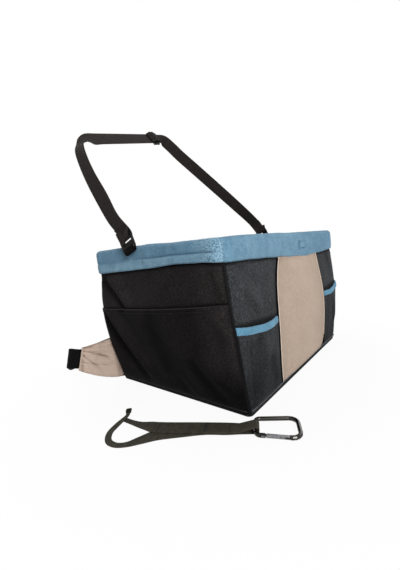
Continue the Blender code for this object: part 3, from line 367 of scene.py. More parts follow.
# %% Dress the carried-over pieces
kept_pieces = dict.fromkeys(("strap_lock_left", "strap_lock_right", "strap_slider",
                             "buckle_socket", "buckle_plug", "tether_tip"), acetal)
kept_pieces |= {"carabiner_body": aluminium, "carabiner_gate": bright_aluminium,
                "gate_pin": steel, "rim_hoop": steel}
kept_pieces |= dict.fromkeys(("base_board", "wall_board_front", "wall_board_right",
                              "wall_board_rear", "wall_board_left"), board_finish)
for node_name, finish in kept_pieces.items():
    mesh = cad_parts[node_name].data
    mesh.materials.clear()
    mesh.materials.append(finish)
print(len(kept_pieces), "pieces keep their packed shape")

# %% [markdown]
# ## The form of the tub
#
# The walls lean outwards on a soft curve up to the fleece band, where they stand upright, and they
# turn through rounded corners. One function gives any place on a wall from its distance along the
# wall, its height and how far in it lies, and every cloth piece is laid on that.

# %% Places on a wall
air = 0.0003
shell_cloth = 0.0016
pocket_cloth = 0.0014
wall_board = 0.003
lining = 0.003
band_fleece = 0.003
corner_radius = 0.016
tight_radius = 0.001
crisp_radius = 0.006
crisp_depth = 0.004
side_bulge = 0.003
front_bulge = 0.004
piping_thick = 0.004
piping_out = 0.001
base_inset = piping_thick - piping_out + air
seam_room = 0.0024

tub_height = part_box("rim_band_front")[1].z
band_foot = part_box("rim_band_front")[0].z
shell_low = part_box("outer_panel_front")[0].z
shell_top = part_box("outer_panel_front")[1].z
rim_half_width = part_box("rim_band_right")[1].x
rim_half_depth = -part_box("rim_band_front")[0].y
base_half_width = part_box("base_cover")[1].x + base_inset
base_half_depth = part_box("base_cover")[1].y + base_inset
shell_half_width = rim_half_width - band_fleece - air
shell_half_depth = rim_half_depth - band_fleece - air
lining_inset = shell_cloth + air + wall_board + air
room_inset = lining_inset + lining
wing_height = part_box("belt_wing_left")[1].z
wing_root = 0.030
wing_start = base_half_width - corner_radius - wing_root

compass = {"front": -90.0, "right": 0.0, "rear": 90.0, "left": 180.0}
hands = (("left", -1), ("right", 1))
forwards = Vector((0, -1, 0))


def clamped(value):
    """A value held between 0 and 1."""
    return min(1.0, max(0.0, value))


def ease(value):
    """0 below 0, 1 above 1, and a smooth step between."""
    value = clamped(value)
    return value * value * (3 - 2 * value)


def reach(z, base_half, rim_half, bulge):
    """How far a wall stands from the middle at height z."""
    share = clamped(z / band_foot)
    return (base_half + (rim_half - base_half) * math.sin(math.pi / 2 * share)
            + bulge * math.sin(math.pi * share) ** 2)


def wall_halves(side, z):
    """Half the wall's length, and its distance from the middle, at height z."""
    across = reach(z, base_half_width, shell_half_width, side_bulge)
    deep = reach(z, base_half_depth, shell_half_depth, front_bulge)
    return (across, deep) if side in ("front", "rear") else (deep, across)


def corner_round(z, inset):
    """The cloth outside turns a crisp corner at its seam; what is inside keeps the soft one."""
    if inset > crisp_depth:
        return corner_radius
    return corner_radius - (corner_radius - crisp_radius) * ease((band_foot - z) / 0.045)


def wall_heading(side):
    """The directions out of a wall and along it."""
    heading = math.radians(compass[side])
    return (Vector((math.cos(heading), math.sin(heading), 0)),
            Vector((-math.sin(heading), math.cos(heading), 0)))


def on_wall(side, along, z, inset):
    """A place on a wall, `along` from its middle round to the corner, `inset` in from the cloth."""
    half_along, half_out = wall_halves(side, z)
    radius = corner_round(z, inset)
    centre = max(radius, inset + tight_radius)
    turn = max(0.0, abs(along) - (half_along - radius)) / radius
    u = min(abs(along), half_along - centre) + (centre - inset) * math.sin(turn)
    w = half_out - centre + (centre - inset) * math.cos(turn)
    outward, sideways = wall_heading(side)
    return outward * w + sideways * math.copysign(u, along) + Vector((0, 0, z))


def corner_limit(side, z, seam=0.0, inset=0.0):
    """Distance along a wall from its middle to the middle of its corner."""
    radius = corner_round(z, inset)
    return wall_halves(side, z)[0] - radius + radius * math.pi / 4 - seam / 2


print("rim half width", round(rim_half_width, 4), "height", round(tub_height, 4))

# %% [markdown]
# ## Wrinkles and folds
#
# Real cloth is never flat. Two things shape it here: soft random wrinkles, which come from smooth
# noise at two sizes, and folds that are listed one by one, each a valley between two places on a
# wall with a softer ridge beside it. Both fade out where the cloth is sewn down.

# %% Wrinkle helpers


def ripple(place, size, seed=0.0):
    """Smooth noise of a given feature size at a place."""
    return noise.noise(Vector(place) / size + Vector((seed, seed * 0.7, -seed)))


def beside_line(place, start, end):
    """How far along a line a place lies, as a share, and how far to the line's left."""
    run = Vector((end[0] - start[0], end[1] - start[1]))
    length = run.length
    run /= length
    offset = Vector((place[0] - start[0], place[1] - start[1]))
    return offset.dot(run) / length, run.x * offset.y - run.y * offset.x


def fold_place(along, z, fold):
    """Where a place lies on a fold: how strong it is there, and how far to its left, in widths."""
    start, end, _, width, _ = fold
    share, left = beside_line((along, z), start, end)
    return ease(share * 4) * ease((1 - share) * 4), left / width


def fold_height(along, z, fold):
    """How far one fold moves the cloth: a valley, and a ridge on its left side."""
    fade, side = fold_place(along, z, fold)
    depth, ridge = fold[2], fold[4]
    return fade * depth * (ridge * math.exp(-(side - 1.5) ** 2 / 1.6) - math.exp(-side * side))


def fold_tone(along, z, fold):
    """Painted tone of a fold: over 0 for a painted shadow in the crease, under 0 for a painted
    highlight on the ridge beside it.
    """
    fade, side = fold_place(along, z, fold)
    return fade * fold[2] / 0.004 * (math.exp(-(side / 1.5) ** 2)
                                     - 0.55 * fold[4] * math.exp(-(side - 2.9) ** 2 / 3.0))


# The khaki centre panel covers this much of the front wall, which stays flat behind it.
centre_shift = 0.013
centre_top_half = 0.077
centre_waist_half = 0.100
centre_foot_half = 0.094
edge_cord = 0.003
cord_stand = 0.0004


def centre_edge(z, hand):
    """Where the panel's edge runs at height z."""
    share = clamped((z - shell_low) / (band_foot - shell_low))
    swell = math.sin(math.pi * (1 - share) ** 0.8)
    straight = centre_foot_half + (centre_top_half - centre_foot_half) * share
    middle = (centre_foot_half + centre_top_half) / 2
    return centre_shift + hand * (straight + (centre_waist_half - middle) * swell)


# Folds on each wall: start, end, depth, width and how strong the ridge beside it is.
wall_folds = {
    "left": [((-0.130, 0.208), (-0.058, 0.130), 0.0046, 0.0080, 1.1),
             ((-0.138, 0.152), (-0.040, 0.006), 0.0050, 0.0090, 1.1),
             ((-0.008, 0.150), (0.020, 0.035), 0.0018, 0.014, 1.0),
             ((-0.060, 0.120), (-0.010, 0.020), 0.0012, 0.012, 0.8),
             ((0.118, 0.150), (0.108, 0.006), 0.0022, 0.010, -0.9),
             ((0.052, 0.085), (0.112, 0.008), 0.0026, 0.009, 0.9),
             ((0.020, 0.045), (0.050, 0.006), 0.0018, 0.008, 0.8),
             ((0.096, 0.150), (0.122, 0.095), 0.0016, 0.008, 0.9),
             ((0.110, 0.204), (0.130, 0.150), 0.0020, 0.0075, 0.9)],
    "front": [((-0.178, 0.120), (-0.166, 0.010), 0.0030, 0.0060, -0.9),
              ((-0.158, 0.116), (-0.140, 0.050), 0.0016, 0.008, 0.8),
              ((-0.128, 0.080), (-0.100, 0.010), 0.0018, 0.010, 0.8),
              ((-0.176, 0.170), (-0.138, 0.124), 0.0020, 0.0065, 0.9),
              ((-0.176, 0.205), (-0.130, 0.160), 0.0012, 0.009, 0.8),
              ((0.150, 0.110), (0.168, 0.030), 0.0018, 0.008, 0.8),
              ((0.140, 0.200), (0.172, 0.140), 0.0016, 0.008, 0.8)],
    "right": [((-0.110, 0.196), (-0.060, 0.060), 0.0032, 0.009, 0.9),
              ((0.040, 0.150), (0.100, 0.030), 0.0028, 0.009, 0.9)],
    "rear": [((-0.150, 0.190), (-0.100, 0.100), 0.0030, 0.009, 0.9),
             ((0.020, 0.180), (0.060, 0.100), 0.0018, 0.011, 0.9),
             ((0.150, 0.185), (0.110, 0.105), 0.0028, 0.009, 0.9)]}


def wall_relief(side, along, z):
    """How far a wall's cloth stands out from the tub's plain form; its board is just behind it."""
    outward, sideways = wall_heading(side)
    place = outward * 0.2 + sideways * along + Vector((0, 0, z))
    loose = 0.0030 + 0.0014 * ripple(place, 0.048, 3.1) + 0.0006 * ripple(place, 0.019, 7.7)
    loose += sum(fold_height(along, z, fold) for fold in wall_folds[side])
    sewn = ease((band_foot - z) / 0.014) * ease((z - shell_low) / 0.012)
    if side == "front":
        sewn *= ease((abs(along - centre_shift) - abs(centre_edge(z, 1) - centre_shift)) / 0.028)
    if side == "rear":
        sewn *= max(ease((wing_start - 0.003 - abs(along)) / 0.016),
                    ease((z - wing_height - 0.002) / 0.016))
    return max(-0.0001, loose) * sewn * ease((corner_limit(side, z) - abs(along)) / 0.014)


# The fleece band isn't level: (along, how far its foot rises, how far its top rises) per wall.
band_sag = {
    "left": [(-0.145, 0.002, 0.005), (-0.050, 0.004, 0.005), (0.000, 0.0055, 0.004),
             (0.060, 0.0085, 0.001), (0.100, 0.0080, 0.0), (0.145, 0.0055, -0.001)],
    "front": [(-0.205, 0.0055, -0.001), (-0.155, 0.0045, 0.0), (-0.110, 0.0025, 0.0),
              (-0.060, 0.0, 0.0), (-0.010, -0.0040, -0.001), (0.040, -0.0075, -0.001),
              (0.110, -0.0065, -0.001), (0.205, -0.0035, -0.001)],
    "right": [(-0.145, -0.0035, -0.001), (0.0, 0.001, 0.0), (0.145, 0.0, 0.0)],
    "rear": [(-0.205, 0.0, 0.0), (0.0, 0.001, 0.0), (0.205, 0.002, 0.005)]}


def band_shift(side, along):
    """How far the band's foot and top rise at a place along a wall."""
    stops = band_sag[side]
    for (start, foot, top), (end, next_foot, next_top) in zip(stops, stops[1:]):
        if along <= end or end == stops[-1][0]:
            share = ease((along - start) / (end - start))
            return foot + (next_foot - foot) * share, top + (next_top - top) * share


def under_band(side, along, z):
    """The strip of wall just under the band's foot, where a shadow is painted."""
    foot = band_foot + band_shift(side, along)[0]
    return ease((z - foot + 0.006) / 0.004)


def fold_shade(side, along, z):
    """How much painted shade or painted highlight the folds give a place, with a soft random tone."""
    tone = sum(fold_tone(along, z, fold) for fold in wall_folds[side])
    return max(-0.5, min(1.0, tone + 0.16 * ripple((along, z, 1.0), 0.032, 2.5)))


def seam_shade(side, along, z):
    """Painted shade beside a corner's seam, where the cloth dips."""
    return 0.9 * ease(1 - (corner_limit(side, z) - abs(along)) / 0.005)


def near_corner(side, along, z):
    """The part of the left wall beside the front corner's seam that is painted lighter, as a painted
    highlight.
    """
    return ease((along - 0.075) / 0.04) * ease((z - 0.030) / 0.06) if side == "left" else 0.0


print("a fold moves the left wall by", round(1000 * wall_relief("left", -0.09, 0.168), 2), "mm")

# %% [markdown]
# ## Sheets of cloth
#
# A cloth piece is a fine grid of points laid on its wall, then thickened inwards. A grid of about
# 3 mm follows every fold, and it needs no unwrapping.

# %% Mesh helpers


def mesh_object(name, verts, faces, smooth_angle=60.0):
    mesh = bpy.data.meshes.new(name)
    mesh.from_pydata([tuple(v) for v in verts], [], faces)
    mesh.shade_smooth()
    mesh.set_sharp_from_angle(angle=math.radians(smooth_angle))
    thing = bpy.data.objects.new(name, mesh)
    bpy.context.scene.collection.objects.link(thing)
    return thing


def strip_faces(rows, count, closed, first=0):
    """Faces between rows of points; a closed strip joins its last column to its first."""
    faces = []
    for r in range(rows - 1):
        low = first + r * count
        for c in range(count if closed else count - 1):
            d = (c + 1) % count
            faces.append((low + c, low + d, low + count + d, low + count + c))
    return faces


def grid_object(name, grid, closed=False, ends=False, smooth_angle=60.0):
    """A mesh through rows of points, with flat ends where it is a tube."""
    count = len(grid[0])
    verts = [point for row in grid for point in row]
    faces = strip_faces(len(grid), count, closed)
    if ends:
        last = (len(grid) - 1) * count
        faces.append(tuple(reversed(range(count))))
        faces.append(tuple(range(last, last + count)))
    return mesh_object(name, verts, faces, smooth_angle)


def thicken(thing, thickness):
    """Give a sheet its thickness, away from its outer face."""
    shell = thing.modifiers.new("thickness", "SOLIDIFY")
    shell.thickness = thickness
    shell.offset = -1
    return thing


def set_shade(thing, values, name="shade"):
    """Write a number for each point into the mesh, which the finish reads by its name."""
    layer = thing.data.attributes.new(name, "FLOAT", "POINT")
    layer.data.foreach_set("value", values)


def dress(thing, finish, body, slot_name, *nodes):
    """Give a piece its finish and the body that it moves with, and hide the imported pieces that it
    stands for; slot_name is not used.
    """
    thing.data.materials.clear()
    thing.data.materials.append(finish)
    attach(thing, body)
    if nodes:
        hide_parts(*nodes)
    return thing


def cloth_sheet(name, side, places, edges, cells, inset, relief, shade, thickness):
    """A cloth on a wall; places gives how far along it a share of its width lies."""
    (low, top), (columns, rows) = edges, cells
    grid, shades = [], []
    for r in range(rows + 1):
        line = []
        for c in range(columns + 1):
            share = c / columns
            z = low(share) + (top(share) - low(share)) * r / rows
            along = places(z, share)
            line.append(on_wall(side, along, z, inset - relief(along, z, share)))
            shades.append(shade(along, z, share, r / rows))
        grid.append(line)
    sheet = thicken(grid_object(name, grid), thickness)
    set_shade(sheet, shades)
    return sheet


def edge_at(z):
    """An edge that is at one height all along."""
    return lambda share: z


def whole_wall(side):
    """Places from corner to corner."""
    return lambda z, share: corner_limit(side, z, seam_room) * (2 * share - 1)


print("wall sheets run from", round(shell_low, 4), "to", round(shell_top, 4), "m")

# %% [markdown]
# ## Wall panels
#
# The four walls are single panels of black cloth over a board. They show above the pockets, at the
# rear and inside the corner seams.

# %% Wall panels
side_pocket_height = 0.155
side_pocket_rear_height = 0.141
side_pocket_sag = 0.003
front_pocket_height = 0.126
front_pocket_inner_height = 0.115


def side_pocket_top(side):
    def top(share):
        rearward = share if side == "right" else 1 - share
        rise = side_pocket_height + (side_pocket_rear_height - side_pocket_height) * rearward
        return rise - side_pocket_sag * math.sin(math.pi * rearward)

    return top


def front_pocket_edge(outward):
    """Height of a front pocket's edge, from the centre panel (0) to the corner (1)."""
    return front_pocket_inner_height + (front_pocket_height - front_pocket_inner_height) * outward


def wall_shade(side, along, z, share):
    """Painted shade on a wall: darkest in its folds, under the band, by the corner seams and just above
    a pocket's edge; the side walls are shaded all over, less near the front corner.
    """
    if side in ("left", "right"):
        edge = side_pocket_top(side)(share)
    else:
        edge = front_pocket_edge(clamped((abs(along) - 0.08) / 0.11))
    # a painted shadow just above a pocket's edge, and an even painted shade on the side walls
    mouth = 0.0 if side == "rear" else ease(1 - (z - edge) / 0.006)
    plain = 0.38 * (1 - near_corner(side, along, z)) if side in ("left", "right") else 0.10
    return clamped(max(plain + 0.55 * fold_shade(side, along, z), seam_shade(side, along, z),
                       0.9 * under_band(side, along, z), 0.9 * mouth))


for side in compass:
    long_wall = side in ("front", "rear")
    panel = cloth_sheet(f"wall_cloth_{side}", side, whole_wall(side),
                        (edge_at(shell_low), edge_at(shell_top)), (150 if long_wall else 100, 76), 0,
                        lambda along, z, share: wall_relief(side, along, z),
                        lambda along, z, share, rise: wall_shade(side, along, z, share),
                        shell_cloth)
    dress(panel, lit_black_cloth if long_wall else shaded_black_cloth, "tub", "black_polyester",
          f"outer_panel_{side}")
    print(panel.name, len(panel.data.polygons), "faces")

# %% [markdown]
# ## Stitching
#
# A row of stitches is many short threads that rise out of the cloth and dive back in. Each is a
# small bent tube, and a whole row is one mesh. Real thread is 0.4 mm thick; it is drawn at 0.6 mm
# and more, so that a row still reads in the picture.

# %% Stitch and tube helpers
stitch_pitch = 0.0036
stitch_thick = 0.0006
stitch_sides = 5
thread_share = 0.74
stitch_arc = [(0.0, -0.5), (0.18, 0.35), (0.5, 0.6), (0.82, 0.35), (1.0, -0.5)]
hem_sides = 10


def ring_points(centre, across, up, radius, sides):
    """The corners of a round section."""
    return [centre + radius * (math.cos(2 * math.pi * k / sides) * across
                               + math.sin(2 * math.pi * k / sides) * up) for k in range(sides)]


def along_line(points):
    """Distances along a line of points."""
    total = [0.0]
    for a, b in zip(points, points[1:]):
        total.append(total[-1] + (b - a).length)
    return total


def place_at(points, normals, total, distance):
    """The place and the outward direction at a distance along a line."""
    low = 0
    while low < len(total) - 2 and total[low + 1] < distance:
        low += 1
    share = clamped((distance - total[low]) / max(total[low + 1] - total[low], 1e-9))
    return (points[low].lerp(points[low + 1], share),
            normals[low].lerp(normals[low + 1], share).normalized())


def stitch_row(name, points, normals, finish, body, slot_name, pitch=stitch_pitch,
               thick=stitch_thick):
    """A row of thread along a line of points, each with its outward direction."""
    total = along_line(points)
    verts, faces = [], []
    for i in range(int(total[-1] / pitch)):
        start = (i + 0.14) * pitch
        faces += strip_faces(len(stitch_arc), stitch_sides, True, len(verts))
        for share, lift in stitch_arc:
            distance = start + share * pitch * thread_share
            centre, out = place_at(points, normals, total, distance)
            way = place_at(points, normals, total, distance + pitch * 0.1)[0] - centre
            run = way.normalized() if way.length > 1e-7 else Vector((1, 0, 0))
            verts += ring_points(centre + out * thick * lift, run.cross(out).normalized(), out,
                                 thick / 2, stitch_sides)
    row = mesh_object(name, verts, faces)
    return dress(row, finish, body, slot_name)


def tube_object(name, points, out, radius, sides=14, closed=False):
    """A round cord along points; `out` gives a direction square to it at each."""
    grid = []
    last = len(points) - 1
    for i, centre in enumerate(points):
        after = points[(i + 1) % len(points)] if closed else points[min(i + 1, last)]
        before = points[i - 1] if closed else points[max(i - 1, 0)]
        ahead = (after - before).normalized()
        across = (out[i] - ahead * out[i].dot(ahead)).normalized()
        grid.append(ring_points(centre, across, ahead.cross(across), radius, sides))
    if closed:
        grid.append(grid[0])
    return grid_object(name, grid, closed=True, ends=not closed)


def wall_line(side, places, height, inset, count):
    """Points along a wall with the direction out of the cloth at each."""
    points, normals = [], []
    for i in range(count + 1):
        share = i / count
        z = height(share)
        along = places(z, share)
        point = on_wall(side, along, z, inset(along, z, share))
        points.append(point)
        normals.append((on_wall(side, along, z, inset(along, z, share) - 0.01) - point).normalized())
    return points, normals


def line_on_wall(side, stops, inset, outer):
    """Points for (along, z) stops on a wall, and the way from each to a place further out."""
    points = [on_wall(side, along, z, inset) for along, z in stops]
    return points, [on_wall(side, along, z, outer) - point
                    for (along, z), point in zip(stops, points)]


print("stitches are", round(1000 * stitch_pitch, 1), "mm apart")

# %% [markdown]
# ## Corner seams and base piping
#
# A covered cord is sewn into each corner seam, and a thicker one runs round the edge of the base.

# %% Corner cords and base piping
welt_radius = 0.0015
foot_hem_height = 0.0048
foot_hem_radius = 0.0013
for side, corner in zip(compass, ("front_right", "rear_right", "rear_left", "front_left")):
    heights = [shell_low + (band_foot + 0.012 - shell_low) * i / 60 for i in range(61)]
    points, out = line_on_wall(side, [(corner_limit(side, z), z) for z in heights],
                               shell_cloth / 2, 0)
    welt = tube_object(f"seam_cord_{corner}", points, out, welt_radius)
    dress(welt, cord_finish, "tub", "black_cord", f"corner_welt_{corner}")

base_radius = piping_thick / 2
points, out = [], []
for side in compass:
    limit = corner_limit(side, 0)
    stops = [(limit * (2 * i / 100 - 1), base_radius + air) for i in range(100)]
    wall_points, wall_out = line_on_wall(side, stops, base_radius - piping_out, -0.02)
    points += wall_points
    out += wall_out
piping = tube_object("base_edge_piping", points, out, base_radius, closed=True)
# Foot hems: a rolled hem just above the base piping, in the lighter edge copies of the cloth, which
# make a painted highlight line.
for side in compass:
    z = shell_low + foot_hem_height
    limit = corner_limit(side, z, 2 * seam_room)
    points, out = line_on_wall(side, [(limit * (2 * i / 120 - 1), z) for i in range(121)],
                               -(air + pocket_cloth + 0.0005), -0.02)
    hem = tube_object(f"foot_hem_{side}", points, out, foot_hem_radius, sides=hem_sides)
    dress(hem, highlight_front_cloth if side in ("front", "rear") else highlight_side_cloth, "tub", "black_polyester")
dress(piping, cord_finish, "tub", "black_cord", "base_piping")
print(piping.name, len(piping.data.polygons), "faces")

# %% [markdown]
# ## Base cloth
#
# The underside is a flat piece of the same cloth, seen when the seat is picked up.

# %% Base cloth
outline = []
for side in compass:
    for i in range(24):
        outline.append(on_wall(side, corner_limit(side, 0) * (2 * i / 24 - 1), 0, base_inset))
shares = [1.0, 0.97, 0.8, 0.55, 0.3, 0.1]
grid = []
for share in shares:
    rise = 0.0004 * (1 - share) * ease(1 - share)
    grid.append([Vector((p.x * share, p.y * share, rise)) for p in outline])
base = grid_object("base_cloth", [row[::-1] for row in grid], closed=True)
hub = bmesh.new()
hub.from_mesh(base.data)
hub.verts.ensure_lookup_table()
hub.faces.new([hub.verts[len(outline) * (len(shares) - 1) + i] for i in range(len(outline))])
bmesh.ops.recalc_face_normals(hub, faces=hub.faces)
down = sum(face.normal.z for face in hub.faces)
if down > 0:
    bmesh.ops.reverse_faces(hub, faces=hub.faces)
hub.to_mesh(base.data)
hub.free()
thicken(base, shell_cloth)
dress(base, lit_black_cloth, "tub", "black_polyester", "base_cover")
print(base.name, len(base.data.polygons), "faces")

# %% [markdown]
# ## Side pockets
#
# A big flat pocket covers the lower two thirds of each side wall. Its top edge is a narrow hem with
# one row of stitches, and it stands a little away from the wall, so it draws a thin shadow line, which
# is also painted as shade on the wall above. The pocket cloth carries painted shade, deeper towards
# the floor.

# %% Side pockets
hem_height = 0.0075
rolled_edge = 0.0009


def pocket_shade(side, along, z):
    """Painted shade on pocket cloth: deeper than on the wall above, deeper still towards the floor,
    with the folds' and the seams' painted shade.
    """
    plain, low = (0.22, 0.46) if side == "front" else (0.80, 0.18)
    return min(0.98, max(0.0, plain * (1 - near_corner(side, along, z)) + low * ease(1 - z / 0.11)
                         + 0.45 * fold_shade(side, along, z), seam_shade(side, along, z)))


def pocket_relief(side, top, gape):
    """A pocket follows its wall's folds, gapes at the top and has a thicker hem."""
    def relief(along, z, share):
        below = top(share) - z
        open_share = math.sin(math.pi * clamped(share)) ** 0.6
        stand = gape * ease(1 - below / 0.07) * open_share
        hem = 0.0005 * ease((hem_height - below) / 0.0012)
        sewn = ease((corner_limit(side, z) - abs(along)) / 0.012) * ease((z - shell_low) / 0.010)
        billow = 0.0005 * abs(ripple((along, z, 0.0), 0.03, 12.0))
        return wall_relief(side, along, z) + (stand + billow) * sewn + hem

    return relief


for side in ("left", "right"):
    top = side_pocket_top(side)
    relief = pocket_relief(side, top, 0.0022)
    pocket = cloth_sheet(f"side_pocket_cloth_{side}", side, whole_wall(side),
                         (edge_at(shell_low), top), (100, 66), -(air + pocket_cloth), relief,
                         lambda along, z, share, rise: pocket_shade(side, along, z), pocket_cloth)
    dress(pocket, shaded_black_cloth, "tub", "black_polyester", f"side_pocket_{side}")
    edge, hem = [wall_line(side, whole_wall(side), lambda share: top(share) - drop,
                           lambda along, z, share: -(air + pocket_cloth) - relief(along, z, share),
                           120) for drop in (0.0006, hem_height - 0.0012)]
    # the rolled edge uses the lighter edge copy of the cloth: a painted highlight line
    roll = tube_object(f"side_pocket_rolled_edge_{side}", edge[0][3:-3], edge[1][3:-3],
                       rolled_edge, sides=hem_sides)
    dress(roll, highlight_side_cloth, "tub", "black_polyester")
    stitch_row(f"side_pocket_stitches_{side}", *hem, thread_dark, "tub", "black_polyester")
    print(pocket.name, len(pocket.data.polygons), "faces")

# %% [markdown]
# ## Khaki centre panel
#
# The front carries a shield of khaki cloth: narrow under the rim, fullest below the middle. Black
# piping is sewn along both its edges, where the cloth is drawn down and is painted darker, as shade,
# as it is just under the band.

# %% Centre panel and its piping
def centre_places(z, share):
    left, right = centre_edge(z, -1), centre_edge(z, 1)
    return left + (right - left) * share


def centre_relief(along, z, share):
    """The panel is slightly full, and drawn down at its sewn edges."""
    full = 0.0022 * math.sin(math.pi * share) ** 0.5 * ease((band_foot - z) / 0.02)
    pucker = 0.0003 * math.sin(z / 0.0042) * (abs(2 * share - 1) ** 6)
    soft = 0.0009 * (1 + ripple((along, z, 0.3), 0.045, 5.0)) / 2
    sewn = ease((z - shell_low) / 0.012) * ease((band_foot - z) / 0.008)
    return (full + soft * math.sin(math.pi * share)) * sewn + pucker * sewn + 0.0002


centre_foot_strip = 0.0045
centre_foot_turn = 0.030


def centre_low(share):
    """The panel's foot: a strip above the floor, and turned up to a round corner on the right."""
    width = (centre_edge(shell_low, 1) - centre_edge(shell_low, -1)) * (1 - share)
    turn = max(0.0, 1 - width / centre_foot_turn)
    return shell_low + centre_foot_strip + centre_foot_turn * (1 - math.sqrt(1 - turn ** 2)) * 0.9


def centre_shade(along, z, share, rise):
    """Painted shade: darker at the sewn edges and just under the band."""
    edge = 1 - math.sin(math.pi * share)
    return min(1.0, 0.22 * edge ** 3 + 0.25 * ease((rise - 0.93) / 0.07))


def upright_cord(name, places, low, length, stand, radius, sides=14):
    """A cord up the front wall; places gives how far along the wall it is at each height."""
    heights = [low + length * i / 90 for i in range(91)]
    points = [on_wall("front", places(z), z, -(stand + cord_stand)) for z in heights]
    return tube_object(name, points, [forwards] * len(points), radius, sides)


centre = cloth_sheet("khaki_centre_panel", "front", centre_places,
                     (centre_low, edge_at(band_foot - air)), (84, 80), -(air + shell_cloth),
                     centre_relief, centre_shade, shell_cloth)
dress(centre, khaki_cloth, "tub", "khaki_polyester", "front_centre_panel")
# the rolled edges use the lighter khaki copy: painted highlight lines
for name, share_at in (("left", 0.004), ("right", 0.996)):
    low = centre_low(share_at)
    fold = upright_cord(f"khaki_rolled_edge_{name}", lambda z: centre_places(z, share_at), low,
                        band_foot - air - low, air + shell_cloth, rolled_edge, hem_sides)
    dress(fold, khaki_highlight_cloth, "tub", "khaki_polyester")
for name, hand in hands:
    cord = upright_cord(f"panel_piping_{name}",
                        lambda z: centre_edge(z, hand) + hand * (edge_cord / 2 + air),
                        shell_low + edge_cord / 2, band_foot - air - edge_cord - shell_low,
                        air + edge_cord / 2, edge_cord * 0.36)
    dress(cord, cord_finish, "tub", "black_cord", f"centre_piping_{name}")
print(centre.name, len(centre.data.polygons), "faces")

# %% [markdown]
# ## Front pockets and their blue bindings
#
# A small pocket fills each front corner. A soft blue binding is folded over its sagging top edge,
# and the cloth below it is gathered a little towards the corner.

# %% Front pockets
front_pocket_sag = 0.003
binding_height = 0.010
binding_thick = 0.0024


def front_pocket_places(hand):
    def places(z, share):
        inner = abs(centre_edge(z, hand)) + edge_cord + 2 * air
        outer = corner_limit("front", z, seam_room)
        outward = share if hand > 0 else 1 - share
        return hand * (inner + (outer - inner) * outward)

    return places


def front_pocket_top(hand):
    def top(share):
        outward = share if hand > 0 else 1 - share
        return front_pocket_edge(outward) - front_pocket_sag * math.sin(math.pi * outward)

    return top


def front_pocket_relief(hand):
    top = front_pocket_top(hand)
    follow = pocket_relief("front", top, 0.0034)

    def relief(along, z, share):
        outward = share if hand > 0 else 1 - share
        below = top(share) - z
        gather = 0.0007 * math.sin(outward * 26.0) * ease(1 - below / 0.045) * ease(below / 0.022)
        edge = ease(outward / 0.12) * ease((1 - outward) / 0.12)
        plain = wall_relief("front", along, z)
        full = ease(outward / 0.4) * (ease((1 - outward) / 0.6) if hand > 0 else 1)
        return plain + (follow(along, z, share) - plain) * full + gather * edge

    return relief


def binding_section(steps=5):
    """The folded binding's outline as shares: how far out and how far down from its top."""
    outline = []
    for k in range(steps + 1):
        turn = math.pi / 2 * k / steps
        outline.append((0.35 + 0.65 * math.sin(turn), 0.16 * (1 - math.cos(turn))))
    for k in range(1, 6):
        outline.append((1.0 + 0.16 * math.sin(math.pi * k / 6), 0.16 + 0.68 * k / 6))
    for k in range(steps + 1):
        turn = math.pi / 2 * k / steps
        outline.append((0.35 + 0.65 * math.cos(turn), 0.84 + 0.16 * math.sin(turn)))
    return outline + [(0.0, 1.0), (0.0, 0.0)]


for name, hand in hands:
    top, relief, places = front_pocket_top(hand), front_pocket_relief(hand), front_pocket_places(hand)
    pocket = cloth_sheet(f"front_pocket_cloth_{name}", "front", places,
                         (edge_at(shell_low), lambda share: top(share) - binding_height * 0.5),
                         (44, 52), -(air + pocket_cloth), relief,
                         lambda along, z, share, rise: pocket_shade("front", along, z),
                         pocket_cloth)
    dress(pocket, lit_black_cloth, "tub", "black_polyester", f"front_pocket_{name}")
    sections = []
    for i in range(61):
        share = i / 60
        z_top = top(share)
        section = []
        for out, down in binding_section():
            z = z_top - down * binding_height
            along = places(z, share)
            stand = relief(along, z_top - binding_height * 0.6, share)
            full = 0.66 + 0.34 * ease((share if hand > 0 else 1 - share) / 0.25)
            section.append(on_wall("front", along, z,
                                   -(air + stand + out * full * (binding_thick + 0.0003))))
        sections.append(section)
    binding = grid_object(f"pocket_binding_soft_{name}", sections, closed=True, ends=True)
    dress(binding, binding_finish, "tub", "blue_binding", f"pocket_binding_{name}")
    points, normals = wall_line(
        "front", places, lambda share: top(share) - binding_height * 0.8,
        lambda a, z, s: -(air + relief(a, z, s) + binding_thick * 1.12), 60)
    stitch_row(f"binding_stitches_{name}", points, normals, thread_blue, "tub", "blue_binding")
    print(pocket.name, len(pocket.data.polygons), "faces, binding", len(binding.data.polygons))

# %% [markdown]
# ## Fleece band
#
# A wide band of plush fleece is folded over the rim and its wire hoop. Its outer leg ends in a soft
# turned hem. On the left side it is pressed in along its length, so the hem below turns up a little
# and catches more light, and the band above that crease is painted darker, as shade. The pile itself
# moves the outline by a fraction of a millimetre.

# %% Fleece helpers


def ruffle(thing, amount, size, mask=None):
    """Push each point out along its normal by a little noise, as the pile does."""
    mesh = thing.data
    normals = [normal.vector.copy() for normal in mesh.vertex_normals]
    moved = []
    for vert, normal in zip(mesh.vertices, normals):
        place = vert.co.copy()
        share = 1.0 if mask is None else mask(vert.index, place)
        if share > 0:
            push = 0.5 + 0.5 * ripple(place, size, 2.0)
            push = 0.6 * push + 0.4 * (0.5 + 0.5 * ripple(place, size * 0.45, 9.0))
            place += normal * amount * push * share
        moved.extend(place)
    mesh.vertices.foreach_set("co", moved)
    mesh.update()
    return thing


band_inner_drop = 0.022
hem_roll = 0.0022
band_pile = 0.0007
band_clump = 0.0034
soft_pile = 0.0008


